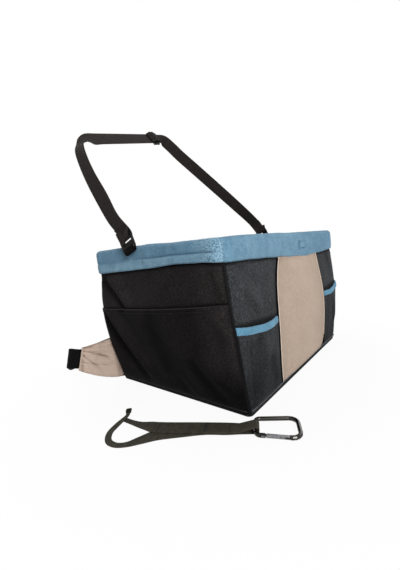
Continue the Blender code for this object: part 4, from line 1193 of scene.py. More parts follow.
def band_outline():
    """The band's section as (inset, height, outer): outer leg, rounded top, inner leg, back."""
    outer = -(air + band_fleece)
    inner = room_inset + air + band_fleece
    middle, half = (outer + inner) / 2, (inner - outer) / 2
    inner_foot = tub_height - band_inner_drop
    shoulder = 0.0065
    outline = []
    for k in range(6):
        turn = math.pi * (0.95 - 0.45 * k / 5)
        outline.append((outer + hem_roll - hem_roll * math.sin(turn) + (1 - k / 5) * 0.0008,
                        band_foot + hem_roll + hem_roll * math.cos(turn), 1))
    for k in range(1, 18):
        z = band_foot + hem_roll + (tub_height - shoulder - band_foot - hem_roll) * k / 18
        outline.append((outer, z, 1))
    for k in range(13):
        turn = math.pi * k / 12
        outline.append((middle - half * math.cos(turn),
                        tub_height - shoulder + shoulder * math.sin(turn) ** 0.8, 1))
    for k in range(1, 8):
        z = tub_height - shoulder + (inner_foot + hem_roll - tub_height + shoulder) * k / 8
        outline.append((inner, z, 0))
    for k in range(5):
        turn = math.pi / 2 * k / 4
        outline.append((inner - hem_roll + hem_roll * math.cos(turn),
                        inner_foot + hem_roll - hem_roll * math.sin(turn), 0))
    outline += [(inner - band_fleece, inner_foot + 0.0005, -1),
                (inner - band_fleece, tub_height - band_fleece, -1),
                (outer + band_fleece, tub_height - band_fleece, -1),
                (outer + band_fleece, band_foot + 0.0005, -1)]
    return outline


def crease_line(along):
    """Where the left band's crease runs, as a share of the band's height."""
    return 0.40 + 0.04 * ripple((along, 0, 0), 0.06, 1.0)


def band_painted_shade(side, along, z):
    """Painted shade on the band: darker and bluer above the left band's crease and in it, less so near
    its front corner, and deeper towards the front band's right end.
    """
    if side != "left":
        right_end = ease(along / 0.12) if side == "front" else 0.0
        return 0.42 + 0.30 * right_end + 0.15 * ripple((along, z, 5.0), 0.05, 6.0)
    share = (z - band_foot) / (tub_height - band_foot)
    above = ease((share - crease_line(along)) / 0.06)
    near = ease((along - 0.085) / 0.04)
    return min(1.0, (0.04 + 0.70 * above + 0.70 * math.exp(
        -((share - crease_line(along)) / 0.03) ** 2)) * (1 - 0.5 * near))


def band_curl(side, along, z):
    """Round the near left corner the pile is rubbed up into little curls."""
    if side == "left":
        return 0.85 * ease((along - 0.090 + 0.012 * ripple((along, z, 2.0), 0.02)) / 0.03)
    if side == "front":
        return 0.85 * ease(1 - (along + 0.200) / 0.008)
    return 0.0


def strap_rub(side, along, z):
    """1 where the swinging headrest strap keeps the pile beside its lock pressed flat."""
    if side not in ("left", "right"):
        return 0.0
    rearward = -along if side == "left" else along
    return (ease(rearward / 0.010) * ease((0.125 - rearward) / 0.025)
            * ease((z - tub_height + 0.036) / 0.010))


def band_relief(side, along, z):
    """How far the band's outer leg swells or is pressed in."""
    share = (z - band_foot) / (tub_height - band_foot)
    swell = 0.0012 * math.sin(math.pi * share) + 0.0010 * ripple((along, z, 0.2), 0.035, 4.0)
    if side == "left":
        line = crease_line(along)
        held = ease((along + 0.150) / 0.05)
        swell -= 0.0022 * held * math.exp(-((share - line - 0.02) / 0.055) ** 2)
        swell += 0.0014 * held * ease((line - share + 0.03) / 0.08)
        swell -= 0.0012 * math.exp(-((along + 0.020) / 0.020) ** 2) * ease(share / 0.4)
    rub = strap_rub(side, along, z)
    swell = min(swell, swell * (1 - rub) - 0.0008 * rub)
    return swell * ease((corner_limit(side, z) - abs(along)) / 0.010)


# %% Fleece band
outline = band_outline()
for side in compass:
    columns = 190 if side in ("front", "rear") else 130
    limit = corner_limit(side, band_foot, 2 * air)
    sections, band_shades, curls = [], [], []
    for i in range(columns + 1):
        along = limit * (2 * i / columns - 1)
        corner = ease(1 - (limit - abs(along)) / 0.006)
        foot_rise, top_rise = band_shift(side, along)
        section = []
        for inset, z, outer in outline:
            out = band_relief(side, along, z) if outer == 1 and inset < 0.001 else 0.0
            out -= 0.0009 * corner if outer >= 0 else 0.0
            point = on_wall(side, along, max(z, band_foot), inset - out)
            share = max(0.0, (z - band_foot) / (tub_height - band_foot))
            point.z += foot_rise + (top_rise - foot_rise) * share
            section.append(point)
            band_shades.append(band_painted_shade(side, along, z))
            curls.append(band_curl(side, along, z))
        sections.append(section[::-1])
        band_shades[-len(outline):] = band_shades[-len(outline):][::-1]
        curls[-len(outline):] = curls[-len(outline):][::-1]
    band = grid_object(f"fleece_band_{side}", sections, closed=True, ends=True)
    hidden = len(outline) - 4
    count = len(outline)
    fluffy = {v for v in range(len(band.data.vertices)) if (count - 1 - v % count) < hidden}
    rearward = -1 if side == "left" else 1
    ruffle(band, band_pile, band_clump, lambda index, place: 0.0 if index not in fluffy else (
        1 - 0.9 * strap_rub(side, rearward * place.y, place.z)))
    set_shade(band, band_shades)
    set_shade(band, curls, "curl")
    dress(band, band_fleece_finish, "tub", "blue_fleece", f"rim_band_{side}")
    print(band.name, len(band.data.polygons), "faces")

# %% [markdown]
# ## Sewn patch
#
# A small square of fleece is stitched on the front of the band. Its face is bare.

# %% Patch
patch_low, patch_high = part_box("band_patch")
patch_middle = (patch_low + patch_high) / 2
patch_half = (patch_high - patch_low) / 2
patch_thick = 0.0014
patch_columns = 26
patch_rows = 14
patch_corners = [(-0.86, -0.8), (0.86, -0.8), (0.86, 0.8), (-0.86, 0.8), (-0.86, -0.8)]


def between_corners(corners, steps=12):
    """Places on the straight lines from corner to corner."""
    return [(u0 + (u1 - u0) * k / steps, v0 + (v1 - v0) * k / steps)
            for (u0, v0), (u1, v1) in zip(corners, corners[1:]) for k in range(steps)]


def patch_place(u, v):
    """The distance along the front wall and the height of a place on the patch."""
    return patch_middle.x + patch_half.x * u, patch_middle.z + patch_half.z * v


grid, shades = [], []
for r in range(patch_rows + 1):
    line = []
    for c in range(patch_columns + 1):
        u, v = 2 * c / patch_columns - 1, 2 * r / patch_rows - 1
        edge = min(1 - abs(u), (1 - abs(v)) * patch_half.z / patch_half.x)
        out = 0.0010 + 0.0010 * ease(edge / 0.12) + 0.0002 * ripple((u, v, 0), 0.4)
        x, z = patch_place(u, v)
        out += band_relief("front", x, z) + air + band_fleece
        line.append(on_wall("front", x, z, -out))
        # painted shade: the band's even shade, darker towards the patch's edges
        shades.append(0.45 + 0.55 * ease(1 - edge / 0.14))
    grid.append(line)
patch = thicken(grid_object("sewn_patch", grid), patch_thick)
set_shade(patch, shades)
dress(patch, band_fleece_finish, "tub", "blue_fleece", "band_patch")
points = []
for u, v in between_corners(patch_corners):
    x, z = patch_place(u, v)
    points.append(on_wall("front", x, z, -(band_relief("front", x, z) + air + band_fleece + 0.0021)))
stitch_row("patch_stitches", points, [forwards] * len(points), thread_blue, "tub", "blue_fleece",
           pitch=0.003, thick=0.0009)
print(patch.name, "at height", round(patch_middle.z, 4))

# %% [markdown]
# ## Lining
#
# The inside is lined with the same fleece: four soft walls and a floor in one piece.

# %% Lining
lining_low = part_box("fleece_lining")[0].z
lining_clump = 0.0040


def level_ring(z, inset, spans):
    """Points round the inside of the tub at one height, with a soft unevenness."""
    ring = []
    for side in compass:
        for i in range(spans[side]):
            share = 2 * i / spans[side] - 1
            along = corner_limit(side, z) * share
            outward, sideways = wall_heading(side)
            stand = 0.0006 + 0.0008 * ripple(outward * 0.2 + sideways * along + Vector((0, 0, z)),
                                             0.04, 6.0)
            ends = ease((z - lining_low) / 0.02) * ease((shell_top - z) / 0.02)
            ring.append(on_wall(side, along, z, inset + max(0.0, stand) * ends
                                * ease((1 - abs(share)) / 0.08)))
    return ring


spans = {"front": 110, "rear": 110, "left": 76, "right": 76}
rings = [level_ring(lining_low + (shell_top - lining_low) * i / 62, room_inset, spans)
         for i in range(63)]
floor_rings = []
for share in (0.15, 0.4, 0.65, 0.85, 0.96):
    floor_rings.append([Vector((p.x * share, p.y * share, lining_low + lining)) for p in rings[0]])
for point in rings[0]:
    point.z = lining_low + lining
inner = grid_object("fleece_walls_and_floor", [r[::-1] for r in floor_rings + rings], closed=True)
ruffle(inner, soft_pile, lining_clump)
thicken(inner, lining)
dress(inner, band_fleece_finish, "tub", "blue_fleece", "fleece_lining")
print(inner.name, len(inner.data.polygons), "faces")

# %% [markdown]
# ## Seat cushion
#
# The cushion is a stuffed pad that lifts out. It starts as a plain crowned form a little smaller
# than the real one, and is remeshed into even cells. A short cloth simulation with air pressure
# inside then rounds it out. How far a point may move is capped, so that the pad keeps its place
# between the walls, and its underside stays flat. Nearly every point reaches that cap, so the
# simulation gives mainly the direction in which each one moves.

# %% Cushion
cushion_low, cushion_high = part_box("seat_cushion")
cushion_shrink = 0.003
cushion_cap = 0.006
cushion_corner = 0.030
cushion_pull = 0.005
cushion_cell = 0.005
stuffing_pressure = 4.0
side_room = 0.001
cushion_clump = 0.0042


def rounded_ring(half_x, half_y, radius, count=24):
    """An oblong outline with round corners and evenly placed points on its sides."""
    ring = []
    for sign_x, sign_y, start in ((1, -1, -90), (1, 1, 0), (-1, 1, 90), (-1, -1, 180)):
        centre = Vector((sign_x * (half_x - radius), sign_y * (half_y - radius)))
        for k in range(7):
            turn = math.radians(start + 90 * k / 6)
            ring.append(centre + radius * Vector((math.cos(turn), math.sin(turn))))
        turn = math.radians(start + 90)
        run = Vector((-math.sin(turn), math.cos(turn)))
        length = 2 * ((half_x if abs(run.x) > 0.5 else half_y) - radius)
        last = ring[-1].copy()
        for k in range(1, count):
            ring.append(last + run * length * k / count)
    return ring


def cushion_form():
    """The plain crowned pad that the simulation starts from."""
    half_x = cushion_high.x - cushion_shrink
    half_y = cushion_high.y - cushion_shrink
    thick = cushion_high.z - cushion_low.z - 0.012 - cushion_shrink
    ring = rounded_ring(half_x, half_y, cushion_corner)
    profile = [(0.90, 0.0), (0.955, 0.05), (0.985, 0.18), (1.0, 0.40), (1.0, 0.60),
               (0.985, 0.80), (0.95, 0.94), (0.90, 1.0), (0.75, 1.0), (0.55, 1.0), (0.30, 1.0),
               (0.10, 1.0)]
    grid = []
    for out, up in profile:
        line = []
        for point in ring:
            x, y = point
            pull_x = cushion_pull * (1 - (y / half_y) ** 2) * (abs(x) / half_x) ** 8
            pull_y = cushion_pull * (1 - (x / half_x) ** 2) * (abs(y) / half_y) ** 8
            px = x * out - math.copysign(pull_x, x)
            py = y * out - math.copysign(pull_y, y)
            crown = 0.010 * math.cos(math.pi / 2 * px / half_x) * math.cos(
                math.pi / 2 * py / half_y) if up == 1.0 else 0.0
            line.append(Vector((px, py, cushion_low.z + thick * up + crown)))
        grid.append(line)
    return grid_object("stuffed_cushion", grid, closed=True, ends=True)


def shaped_mesh(thing):
    """The mesh that a piece's modifiers make of it now."""
    graph = bpy.context.evaluated_depsgraph_get()
    return bpy.data.meshes.new_from_object(thing.evaluated_get(graph))


def inflate(thing, voxel, pressure, cap, frames=20):
    """Remesh, blow up with a cloth simulation, cap each point's way and keep the result."""
    remesh = thing.modifiers.new("even_cells", "REMESH")
    remesh.mode = "VOXEL"
    remesh.voxel_size = voxel
    start = shaped_mesh(thing)
    thing.modifiers.clear()
    thing.data = start
    rest = [vert.co.copy() for vert in start.vertices]
    cloth = thing.modifiers.new("stuffing", "CLOTH")
    cloth.settings.use_pressure = True
    cloth.settings.uniform_pressure_force = pressure
    cloth.settings.effector_weights.gravity = 0
    for number in range(1, frames + 1):
        bpy.context.scene.frame_set(number)
    blown = shaped_mesh(thing)
    for vert, before in zip(blown.vertices, rest):
        way = vert.co - before
        if way.length > cap:
            vert.co = before + way * cap / way.length
        vert.co.z = max(vert.co.z, cushion_low.z)
    thing.modifiers.clear()
    thing.data = blown
    bpy.context.scene.frame_set(1)
    return thing


cushion = inflate(cushion_form(), cushion_cell, stuffing_pressure, cushion_cap)
cushion.data.shade_smooth()
rounding = cushion.modifiers.new("rounding", "SUBSURF")
rounding.levels = 1
rounding.render_levels = 1
smooth = shaped_mesh(cushion)
cushion.modifiers.clear()
cushion.data = smooth
half_room = Vector((cushion_high.x + side_room, cushion_high.y + side_room))
for vert in cushion.data.vertices:
    vert.co.x = min(half_room.x, max(-half_room.x, vert.co.x))
    vert.co.y = min(half_room.y, max(-half_room.y, vert.co.y))
ruffle(cushion, soft_pile, cushion_clump,
       lambda index, place: 1.0 if place.z > cushion_low.z + 0.004 else 0.0)
cushion.data.shade_smooth()
dress(cushion, band_fleece_finish, "cushion", "blue_fleece", "seat_cushion")
print(cushion.name, len(cushion.data.polygons), "faces")

# %% [markdown]
# ## Wings
#
# A khaki flap is sewn to the rear wall at each side. It carries the end of the seat-back webbing,
# which pulls it into long soft creases that run out from the wall.

# %% Wings
wing_thick = 0.0024
wing_end_height = 0.036
wing_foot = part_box("belt_wing_left")[0].z
wing_bend_share = 0.45
belt_overlap = 0.024
belt_web = 0.032
wing_lean = 18.0
wing_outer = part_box("belt_wing_right")[1].x
wing_end = wing_outer - math.tan(math.radians(wing_lean)) * wing_end_height / 2
wing_flat = (wing_end - belt_overlap - math.sin(math.radians(wing_lean)) * belt_web / 2
             - wing_thick)


def wing_edges(x):
    """The wing's lower and upper edge at a distance x from the middle."""
    share = clamped((x - base_half_width) / (wing_outer - base_half_width))
    lower_end = wing_height - wing_end_height
    bend = share * wing_bend_share + share ** 2 * (1 - wing_bend_share)
    return wing_foot + (lower_end - wing_foot) * bend, wing_height - air * share


def wall_back(z):
    """How far behind the middle the rear wall stands."""
    return wall_halves("rear", z)[1]


wing_plane = wall_back(min(wing_height, band_foot / 2)) + air + wing_thick

# Creases of a wing: start up, end out, end up and depth of each.
wing_fan = [(0.93, 0.20, 0.74, 0.0026), (0.86, 0.42, 0.42, 0.0024), (0.70, 0.62, 0.12, 0.0016),
            (0.97, 0.30, 0.90, 0.0014), (0.40, 0.30, 0.30, 0.0016)]


def wing_crease(x, z, out, up):
    """How far the creases that fan out from the webbing's end lift the cloth."""
    height = wing_height - wing_foot
    width = wing_outer - wing_start
    here = Vector((out * width, up * height))
    push = 0.0
    for start_up, end_out, end_up, depth in wing_fan:
        share, left = beside_line(here, Vector((width, start_up * height)),
                                  Vector((end_out * width, end_up * height)))
        side = left / (0.0022 + 0.0030 * max(0.0, share))
        fade = ease(share * 6) * ease((1 - share) * 3)
        push += fade * depth * (0.8 * math.exp(-(side - 1.4) ** 2 / 1.4) - math.exp(-side * side))
    loose = ease((1 - out) / 0.12) * ease(out / 0.2)
    return push + 0.0028 * loose + 0.0010 * ripple((x, z, 0.0), 0.02, 8.0) * loose


def wing_point(out, up):
    """A place on a wing's back face, `out` from the root and `up` from the lower edge."""
    x = wing_start + (wing_outer - wing_start) * out
    low, high = wing_edges(x)
    z = low + (high - low) * up
    share = min(1.0, (x - wing_start) / (wing_flat - wing_start))
    deep = wall_back(z) + air + wing_thick
    y = deep + (wing_plane - deep) * share - max(0.0, wing_crease(x, z, out, up)) * ease(
        (x - base_half_width - 0.004) / 0.012)
    y += 0.0004 * ease((0.06 - min(up, 1 - up)) / 0.02)
    lean = math.tan(math.radians(wing_lean)) * max(0.0, z - wing_height + wing_end_height)
    return Vector((x - lean * out ** 2, y, z))


wing_rows = 44
wing_columns = 64
for name, hand in hands:
    grid, shades = [], []
    for r in range(wing_rows + 1):
        line = []
        for i in range(wing_columns + 1):
            out, up = i / wing_columns, r / wing_rows
            point = wing_point(out, up)
            line.append(Vector((hand * point.x, point.y, point.z)))
            edge = min(up, 1 - up)
            crease = wing_crease(wing_start + (wing_outer - wing_start) * out,
                                 wing_foot + (wing_height - wing_foot) * up, out, up)
            # painted shade: darker near the rear wall, along the edges and in the creases
            shades.append(min(1.0, 0.30 * ease((0.50 - out) / 0.12) + 0.5 * ease(1 - edge / 0.03)
                              + 0.8 * ease((0.0022 - crease) / 0.0022) * ease((1 - out) / 0.06)
                              * ease((out - 0.3) / 0.2)))
        grid.append(line[::-1] if hand > 0 else line)
    wing = grid_object(f"khaki_wing_{name}", grid)
    set_shade(wing, shades)
    thicken(wing, wing_thick * 0.75)
    dress(wing, lit_wing_khaki, "tub", "khaki_polyester", f"belt_wing_{name}")
    for edge_name, pick in (("lower", 0.055), ("upper", 0.945)):
        points = []
        for i in range(41):
            point = wing_point(0.02 + 0.96 * i / 40, pick)
            points.append(Vector((hand * point.x, point.y - wing_thick * 0.75, point.z)))
        stitch_row(f"wing_stitches_{edge_name}_{name}", points, [forwards] * len(points),
                   thread_khaki, "tub", "khaki_polyester")
    print(wing.name, len(wing.data.polygons), "faces")

# %% [markdown]
# ## Webbing as a ribbon
#
# Each webbing is a flat ribbon swept along a smooth route, with a width direction at every point so
# that it can twist. Its section is slightly rounded at the selvedges.

# %% Ribbon helpers
web_thick = 0.0014


def smooth_route(stops, steps):
    """Points on a smooth curve through the stops, each a tuple of numbers of any length."""
    route = []
    last = len(stops) - 1
    for i in range(last):
        before, here = stops[max(i - 1, 0)], stops[i]
        ahead, after = stops[i + 1], stops[min(i + 2, last)]
        for k in range(steps):
            t = k / steps
            route.append(tuple(
                0.5 * (2 * b + (c - a) * t + (2 * a - 5 * b + 4 * c - d) * t * t
                       + (3 * b - a - 3 * c + d) * t ** 3)
                for a, b, c, d in zip(before, here, ahead, after)))
    route.append(tuple(stops[last]))
    return route


def wrap_turns(start, finish, steps=14):
    """Even angles from one to another, in radians."""
    return [math.radians(start + (finish - start) * k / steps) for k in range(steps + 1)]


def ribbon_object(name, route, width, thickness):
    """Flat webbing along a route of (centre, width direction, width share)."""
    centres = [Vector(centre) for centre, _, _ in route]
    section = [(-1, 0), (-0.985, 0.7), (-0.9, 1), (-0.5, 1.0), (0, 1.0), (0.5, 1.0), (0.9, 1),
               (0.985, 0.7), (1, 0), (0.985, -0.7), (0.9, -1), (0.5, -1.0), (0, -1.0),
               (-0.5, -1.0), (-0.9, -1), (-0.985, -0.7)]
    grid, run, distance = [], [], 0.0
    for i, (_, across, share) in enumerate(route):
        ahead = (centres[min(i + 1, len(centres) - 1)] - centres[max(i - 1, 0)]).normalized()
        side = Vector(across)
        side = (side - ahead * side.dot(ahead)).normalized()
        face = ahead.cross(side)
        if i:
            distance += (centres[i] - centres[i - 1]).length
        grid.append([centres[i] + side * width / 2 * share * u + face * thickness / 2 * v
                     for u, v in section])
        run.append([(width / 2 * share * u, distance) for u, _ in section])
    thing = grid_object(name, grid, closed=True, ends=True, smooth_angle=50)
    layer = thing.data.uv_layers.new(name="run")
    flat = [place for row in run for place in row]
    for loop in thing.data.loops:
        layer.data[loop.index].uv = flat[loop.vertex_index]
    print(name, "is", round(1000 * distance), "mm long")
    return thing


print("webbing is", 1000 * web_thick, "mm thick")

# %% [markdown]
# ## Seat-back belt
#
# Webbing leaves each wing's end, turns back behind the seat and runs along the floor to a
# side-release buckle. The left piece stays with the tub. The right piece is laid in place as a
# plain mesh with its finish.

# %% Belt webbing
belt_loop_depth = 0.158
buckle_width = 0.044
buckle_bar = 0.0036
buckle_bar_thick = 0.0050
buckle_body = 0.040
buckle_end = 0.010
belt_tail = 0.026

belt_start = wing_plane + air + web_thick / 2
belt_depth = belt_start + belt_loop_depth
belt_bar_place = buckle_body / 2 + buckle_end + buckle_bar / 2
belt_wrap_radius = math.hypot(buckle_bar, buckle_bar_thick) / 2 + air + web_thick / 2


def belt_route(hand):
    """From the wing's back face, round behind it, along the floor and round the buckle's bar."""
    top_z = wing_height - wing_end_height / 2
    floor_z = belt_web / 2 + air
    buckle_z = buckle_width / 2 + air
    back = belt_depth + belt_wrap_radius
    drop = top_z - floor_z
    bar = belt_bar_place
    lean = math.radians(wing_lean)
    end = wing_end
    stops = [(end - belt_overlap * math.cos(lean), belt_start,
              top_z - belt_overlap * math.sin(lean), 1),
             (end - air, belt_start, top_z, 1),
             (end + belt_web * 0.12, belt_start, top_z + belt_web * 0.04, 1),
             (end + belt_web * 0.34, belt_start + belt_web * 0.5, top_z + belt_web * 0.08, 1.0),
             (end + belt_web * 0.02, belt_start + belt_web * 1.3, top_z - drop * 0.15, 0.7),
             (end - belt_web * 0.75, belt_depth - belt_loop_depth * 0.42,
              top_z - drop * 0.6, 0.1),
             (end - belt_web * 1.9, belt_depth - belt_loop_depth * 0.12,
              floor_z + drop * 0.06, 0),
             (end - belt_web * 3.2, back, floor_z, 0),
             (bar + belt_web * 1.2, back, buckle_z - belt_web * 0.03, 0),
             (bar + belt_web * 0.5, back, buckle_z, 0),
             (bar, back, buckle_z, 0)]
    route = smooth_route(stops, 12)
    for turn in wrap_turns(90, 270)[1:]:
        route.append((bar + belt_wrap_radius * math.cos(turn),
                      belt_depth + belt_wrap_radius * math.sin(turn), buckle_z, 0))
    for share in (0.25, 0.5, 0.75, 1.0):
        route.append((bar + belt_tail * share, belt_depth - belt_wrap_radius, buckle_z, 0))
    return [((hand * x, y, z), (-hand * math.sin(lean * share), 0, math.cos(lean * share)), 1.0)
            for x, y, z, share in route]


left_belt = ribbon_object("belt_webbing_woven_left", belt_route(-1), belt_web, web_thick)
dress(left_belt, belt_finish, "tub", "strap_webbing", "belt_webbing_left")
right_belt = ribbon_object("belt_webbing_woven_right", belt_route(1), belt_web, web_thick)
right_belt.data.materials.append(belt_finish)
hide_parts("belt_webbing_right")
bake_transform(right_belt)
box_stitch = [(-0.9, -0.8), (0.9, -0.8), (0.9, 0.8), (-0.9, 0.8), (-0.9, -0.8), (0.9, 0.8),
              (0.9, -0.8), (-0.9, 0.8)]
lean = math.radians(wing_lean)
for name, hand in hands:
    points = []
    for u, v in between_corners(box_stitch):
        out, up = belt_overlap * (0.42 * u - 0.5), belt_web * 0.42 * v
        x = wing_end + out * math.cos(lean) - up * math.sin(lean)
        z = wing_height - wing_end_height / 2 + out * math.sin(lean) + up * math.cos(lean)
        points.append(Vector((hand * x, belt_start + web_thick / 2, z)))
    stitch_row(f"belt_box_stitch_{name}", points, [Vector((0, 1, 0))] * len(points), thread_dark, "tub",
               "strap_webbing")
print("belt webbing", len(left_belt.data.polygons), "faces each")

# %% [markdown]
# ## Headrest strap
#
# One long webbing makes the loop that goes round a headrest. It rises from a ladder lock on each
# side of the rim and twists as it leans back, and its slack lies to one side. Both tails come down
# outside it and turn round the locks' top bars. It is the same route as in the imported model, drawn
# with finer steps.

# %% Headrest strap
strap_web = 0.025
strap_lean = 30.0
lock_tilt = 20.0
loop_reach = 0.291
lock_length = 0.024
lock_thick = 0.0036
lock_bar = 0.0036
tab_width = 0.022
tail_length = 0.028
lap_length = 0.030
strap_pivot = Vector((0, 0.025, tub_height - 0.002))

left_leg_shares = [(-1.006, 0.20, 1.04), (-1.012, 0.342, 1.14), (-1.018, 0.482, 1.08),
                   (-1.006, 0.612, 1.09), (-0.98, 0.706, 1.19), (-0.935, 0.752, 1.42),
                   (-0.89, 0.783, 1.72), (-0.83, 0.803, 1.94)]
right_leg_shares = [(0.19, 0.985, 2.46), (0.25, 0.928, 2.54), (0.312, 0.854, 2.57),
                    (0.43, 0.745, 2.63), (0.63, 0.56, 2.71), (0.84, 0.36, 2.83),
                    (0.99, 0.205, 2.97)]
left_leg_widths = [1, 1, 1, 0.97, 0.88, 0.80, 0.96, 1.12]
run_end_shares = [(-0.72, 0.828), (0.14, 1.007)]
run_place_shares = [-0.72, -0.45, -0.116, -0.04, 0.03, 0.095, 0.12]
run_twist_share = 2.004
slider_place_share = 0.02

wrap_radius = math.hypot(lock_thick, lock_bar) / 2 + air + web_thick / 2
lock_side = rim_half_width + air + wrap_radius + web_thick / 2


def loop_facing():
    """The direction square to the loop's plane."""
    lean = math.radians(strap_lean)
    return Vector((0, math.cos(lean), -math.sin(lean)))


def loop_point(across, up):
    """A place in the loop's plane, from shares of its half width and its reach."""
    lean = math.radians(strap_lean)
    along = up * loop_reach
    return Vector((across * lock_side, along * math.sin(lean), along * math.cos(lean)))


def width_direction(ahead, twist_share):
    """Which way the strap's width points, from its heading and its twist in quarter turns."""
    facing = loop_facing()
    twist = math.pi / 2 * twist_share
    return math.cos(twist) * facing.cross(ahead.normalized()) + math.sin(twist) * facing


def run_place(across):
    """A place on the loop's straight top run."""
    (start, low), (end, high) = run_end_shares
    return across, low + (high - low) * (across - start) / (end - start)


def loop_stops():
    """The loop's stops, each with its place, width direction and width share."""
    run = [(*run_place(across), run_twist_share) for across in run_place_shares]
    shares = left_leg_shares + run + right_leg_shares
    points = [loop_point(across, up) for across, up, _ in shares]
    stops = []
    for i, point in enumerate(points):
        ahead = points[min(i + 1, len(points) - 1)] - points[max(i - 1, 0)]
        share = left_leg_widths[i] if i < len(left_leg_widths) else 1
        stops.append((*point, *width_direction(ahead, shares[i][2]), share))
    return stops


def lock_axes(hand):
    """The lock's directions: up the strap, across it, and out from the tub."""
    tilt = math.radians(lock_tilt)
    return (Vector((0, math.sin(tilt), math.cos(tilt))),
            -hand * Vector((0, math.cos(tilt), -math.sin(tilt))), Vector((hand, 0, 0)))


def lock_bar_centre(hand):
    """The middle of a lock's top bar, and the leg's first two stops beside it."""
    up, across, out = lock_axes(hand)
    centre = Vector((hand * lock_side, 0, 0)) + up * (lock_length - lock_bar)
    inner = centre - out * wrap_radius
    return centre, [(*inner, *across, 1), (*(inner + up * lock_bar * 2), *across, 1)]


def strap_tail(hand, leg):
    """The strap's end: its tail lies outside the leg, runs down and goes round the top bar."""
    up, across, out = lock_axes(hand)
    centre, _ = lock_bar_centre(hand)
    tail, run = [], 0.0
    for i in range(1, len(leg) - 1):
        point, side, _ = leg[i]
        point = Vector(point)
        run += (point - Vector(leg[i - 1][0])).length
        ahead = Vector(leg[i + 1][0]) - Vector(leg[i - 1][0])
        face = ahead.cross(Vector(side)).normalized()
        if face.dot(out) < 0:
            face.negate()
        if lock_bar * 3 < run < tail_length:
            tail.append((point + face * (web_thick + air), side, 1.0))
    bend = [(centre + out * wrap_radius * share + up * lock_bar * lift, across, 1.0)
            for share, lift in ((0.30, 2.2), (0.85, 1.1))]
    wrap = [(centre + wrap_radius * (math.cos(turn) * out + math.sin(turn) * up), across, 1.0)
            for turn in wrap_turns(360, 180, 10)[:-1]]
    return tail[::-1] + bend + wrap


def lifted(route):
    """The strap's route carried up to the rim."""
    return [(Vector(point) + strap_pivot, side, share) for point, side, share in route]


gather_width = 0.0115


def smooth_flap(stops):
    """Finer steps along a short flap of (centre, width direction, width share)."""
    route = smooth_route([(*point, share) for point, _, share in stops], 5)
    return [(step[:3], stops[0][1], step[3]) for step in route]


rough = smooth_route(lock_bar_centre(-1)[1] + loop_stops() + lock_bar_centre(1)[1][::-1], 9)
leg = [(point[:3], point[3:6], point[6]) for point in rough]
strap = ribbon_object("headrest_webbing", lifted(strap_tail(-1, leg) + leg
                                                 + strap_tail(1, leg[::-1])[::-1]),
                      strap_web, web_thick)
dress(strap, strap_finish, "strap", "strap_webbing", "headrest_strap")
for name, hand in hands:
    up, across, out = lock_axes(hand)
    centre = Vector((hand * lock_side, 0, 0)) + strap_pivot
    turns = wrap_turns(0, 360, 36)
    ring = [(centre + wrap_radius * (math.cos(turn) * out + math.sin(turn) * up), across, 1.0)
            for turn in turns]
    tab = ribbon_object(f"lock_tab_{name}", ring, tab_width, web_thick)
    dress(tab, belt_finish, "strap", "strap_webbing", f"strap_tab_{name}")
    face = lock_thick / 2 + web_thick / 2 + air
    shift = across * (strap_web / 2 - gather_width / 2)
    flap = [(centre + shift + out * (face + stand) + up * (lock_length + lock_bar * lift), across,
             share) for lift, stand, share in ((2.6, 0.0014, 1.25), (1.4, 0.0014, 1.15),
                                              (0.2, 0.0012, 1.05), (-0.8, 0.0008, 1.0),
                                              (-1.8, 0.0, 1.0), (-2.6, 0.0, 1.0),
                                              (-3.3, 0.0, 0.96))]
    flap = ribbon_object(f"strap_gather_{name}", [(Vector(p), a, w) for p, a, w in
                                                   smooth_flap(flap)], gather_width, web_thick)
    dress(flap, strap_finish, "strap", "strap_webbing")
print("headrest strap", len(strap.data.polygons), "faces")

# %% [markdown]
# ## Slider lap
#
# At the slider the strap is doubled: its other end shows as a short second layer, which goes
# over the slider's middle bar.

# %% Slider lap
start, end = [loop_point(*place) for place in run_end_shares]
run_ahead = (end - start).normalized()
run_across = width_direction(run_ahead, run_twist_share)
run_face = run_ahead.cross(run_across)
if run_face.y > 0:
    run_face, run_across = -run_face, -run_across
slider_centre = loop_point(*run_place(slider_place_share)) + strap_pivot
lap_route = []
for i in range(9):
    x = lap_length * (i / 8 - 0.5)
    lap_route.append((slider_centre + run_ahead * x + run_face * (web_thick + air), run_across, 1.0))
lap = ribbon_object("slider_doubled_webbing", lap_route, strap_web, web_thick)
dress(lap, shaded_lap_webbing, "slider", "strap_webbing", "slider_lap")
over_route = []
for i in range(17):
    share = 2 * i / 16 - 1
    lift = 2 * (web_thick + air) + 0.0034 * ease(1.15 - abs(share) * 1.3)
    over_route.append((slider_centre + run_ahead * share * lap_length * 0.5 + run_face * lift,
                       run_across, 1.0))
over = ribbon_object("slider_webbing_over_bar", over_route, strap_web, web_thick)
dress(over, shaded_lap_webbing, "slider", "strap_webbing")
print("lap centre", [round(v, 4) for v in slider_centre])

# %% [markdown]
# ## Loose tether
#
# The tether lies on the floor: webbing folded back through the carabiner and sewn together, with a
# narrow hand loop at its other end that closes on a small moulded tip.

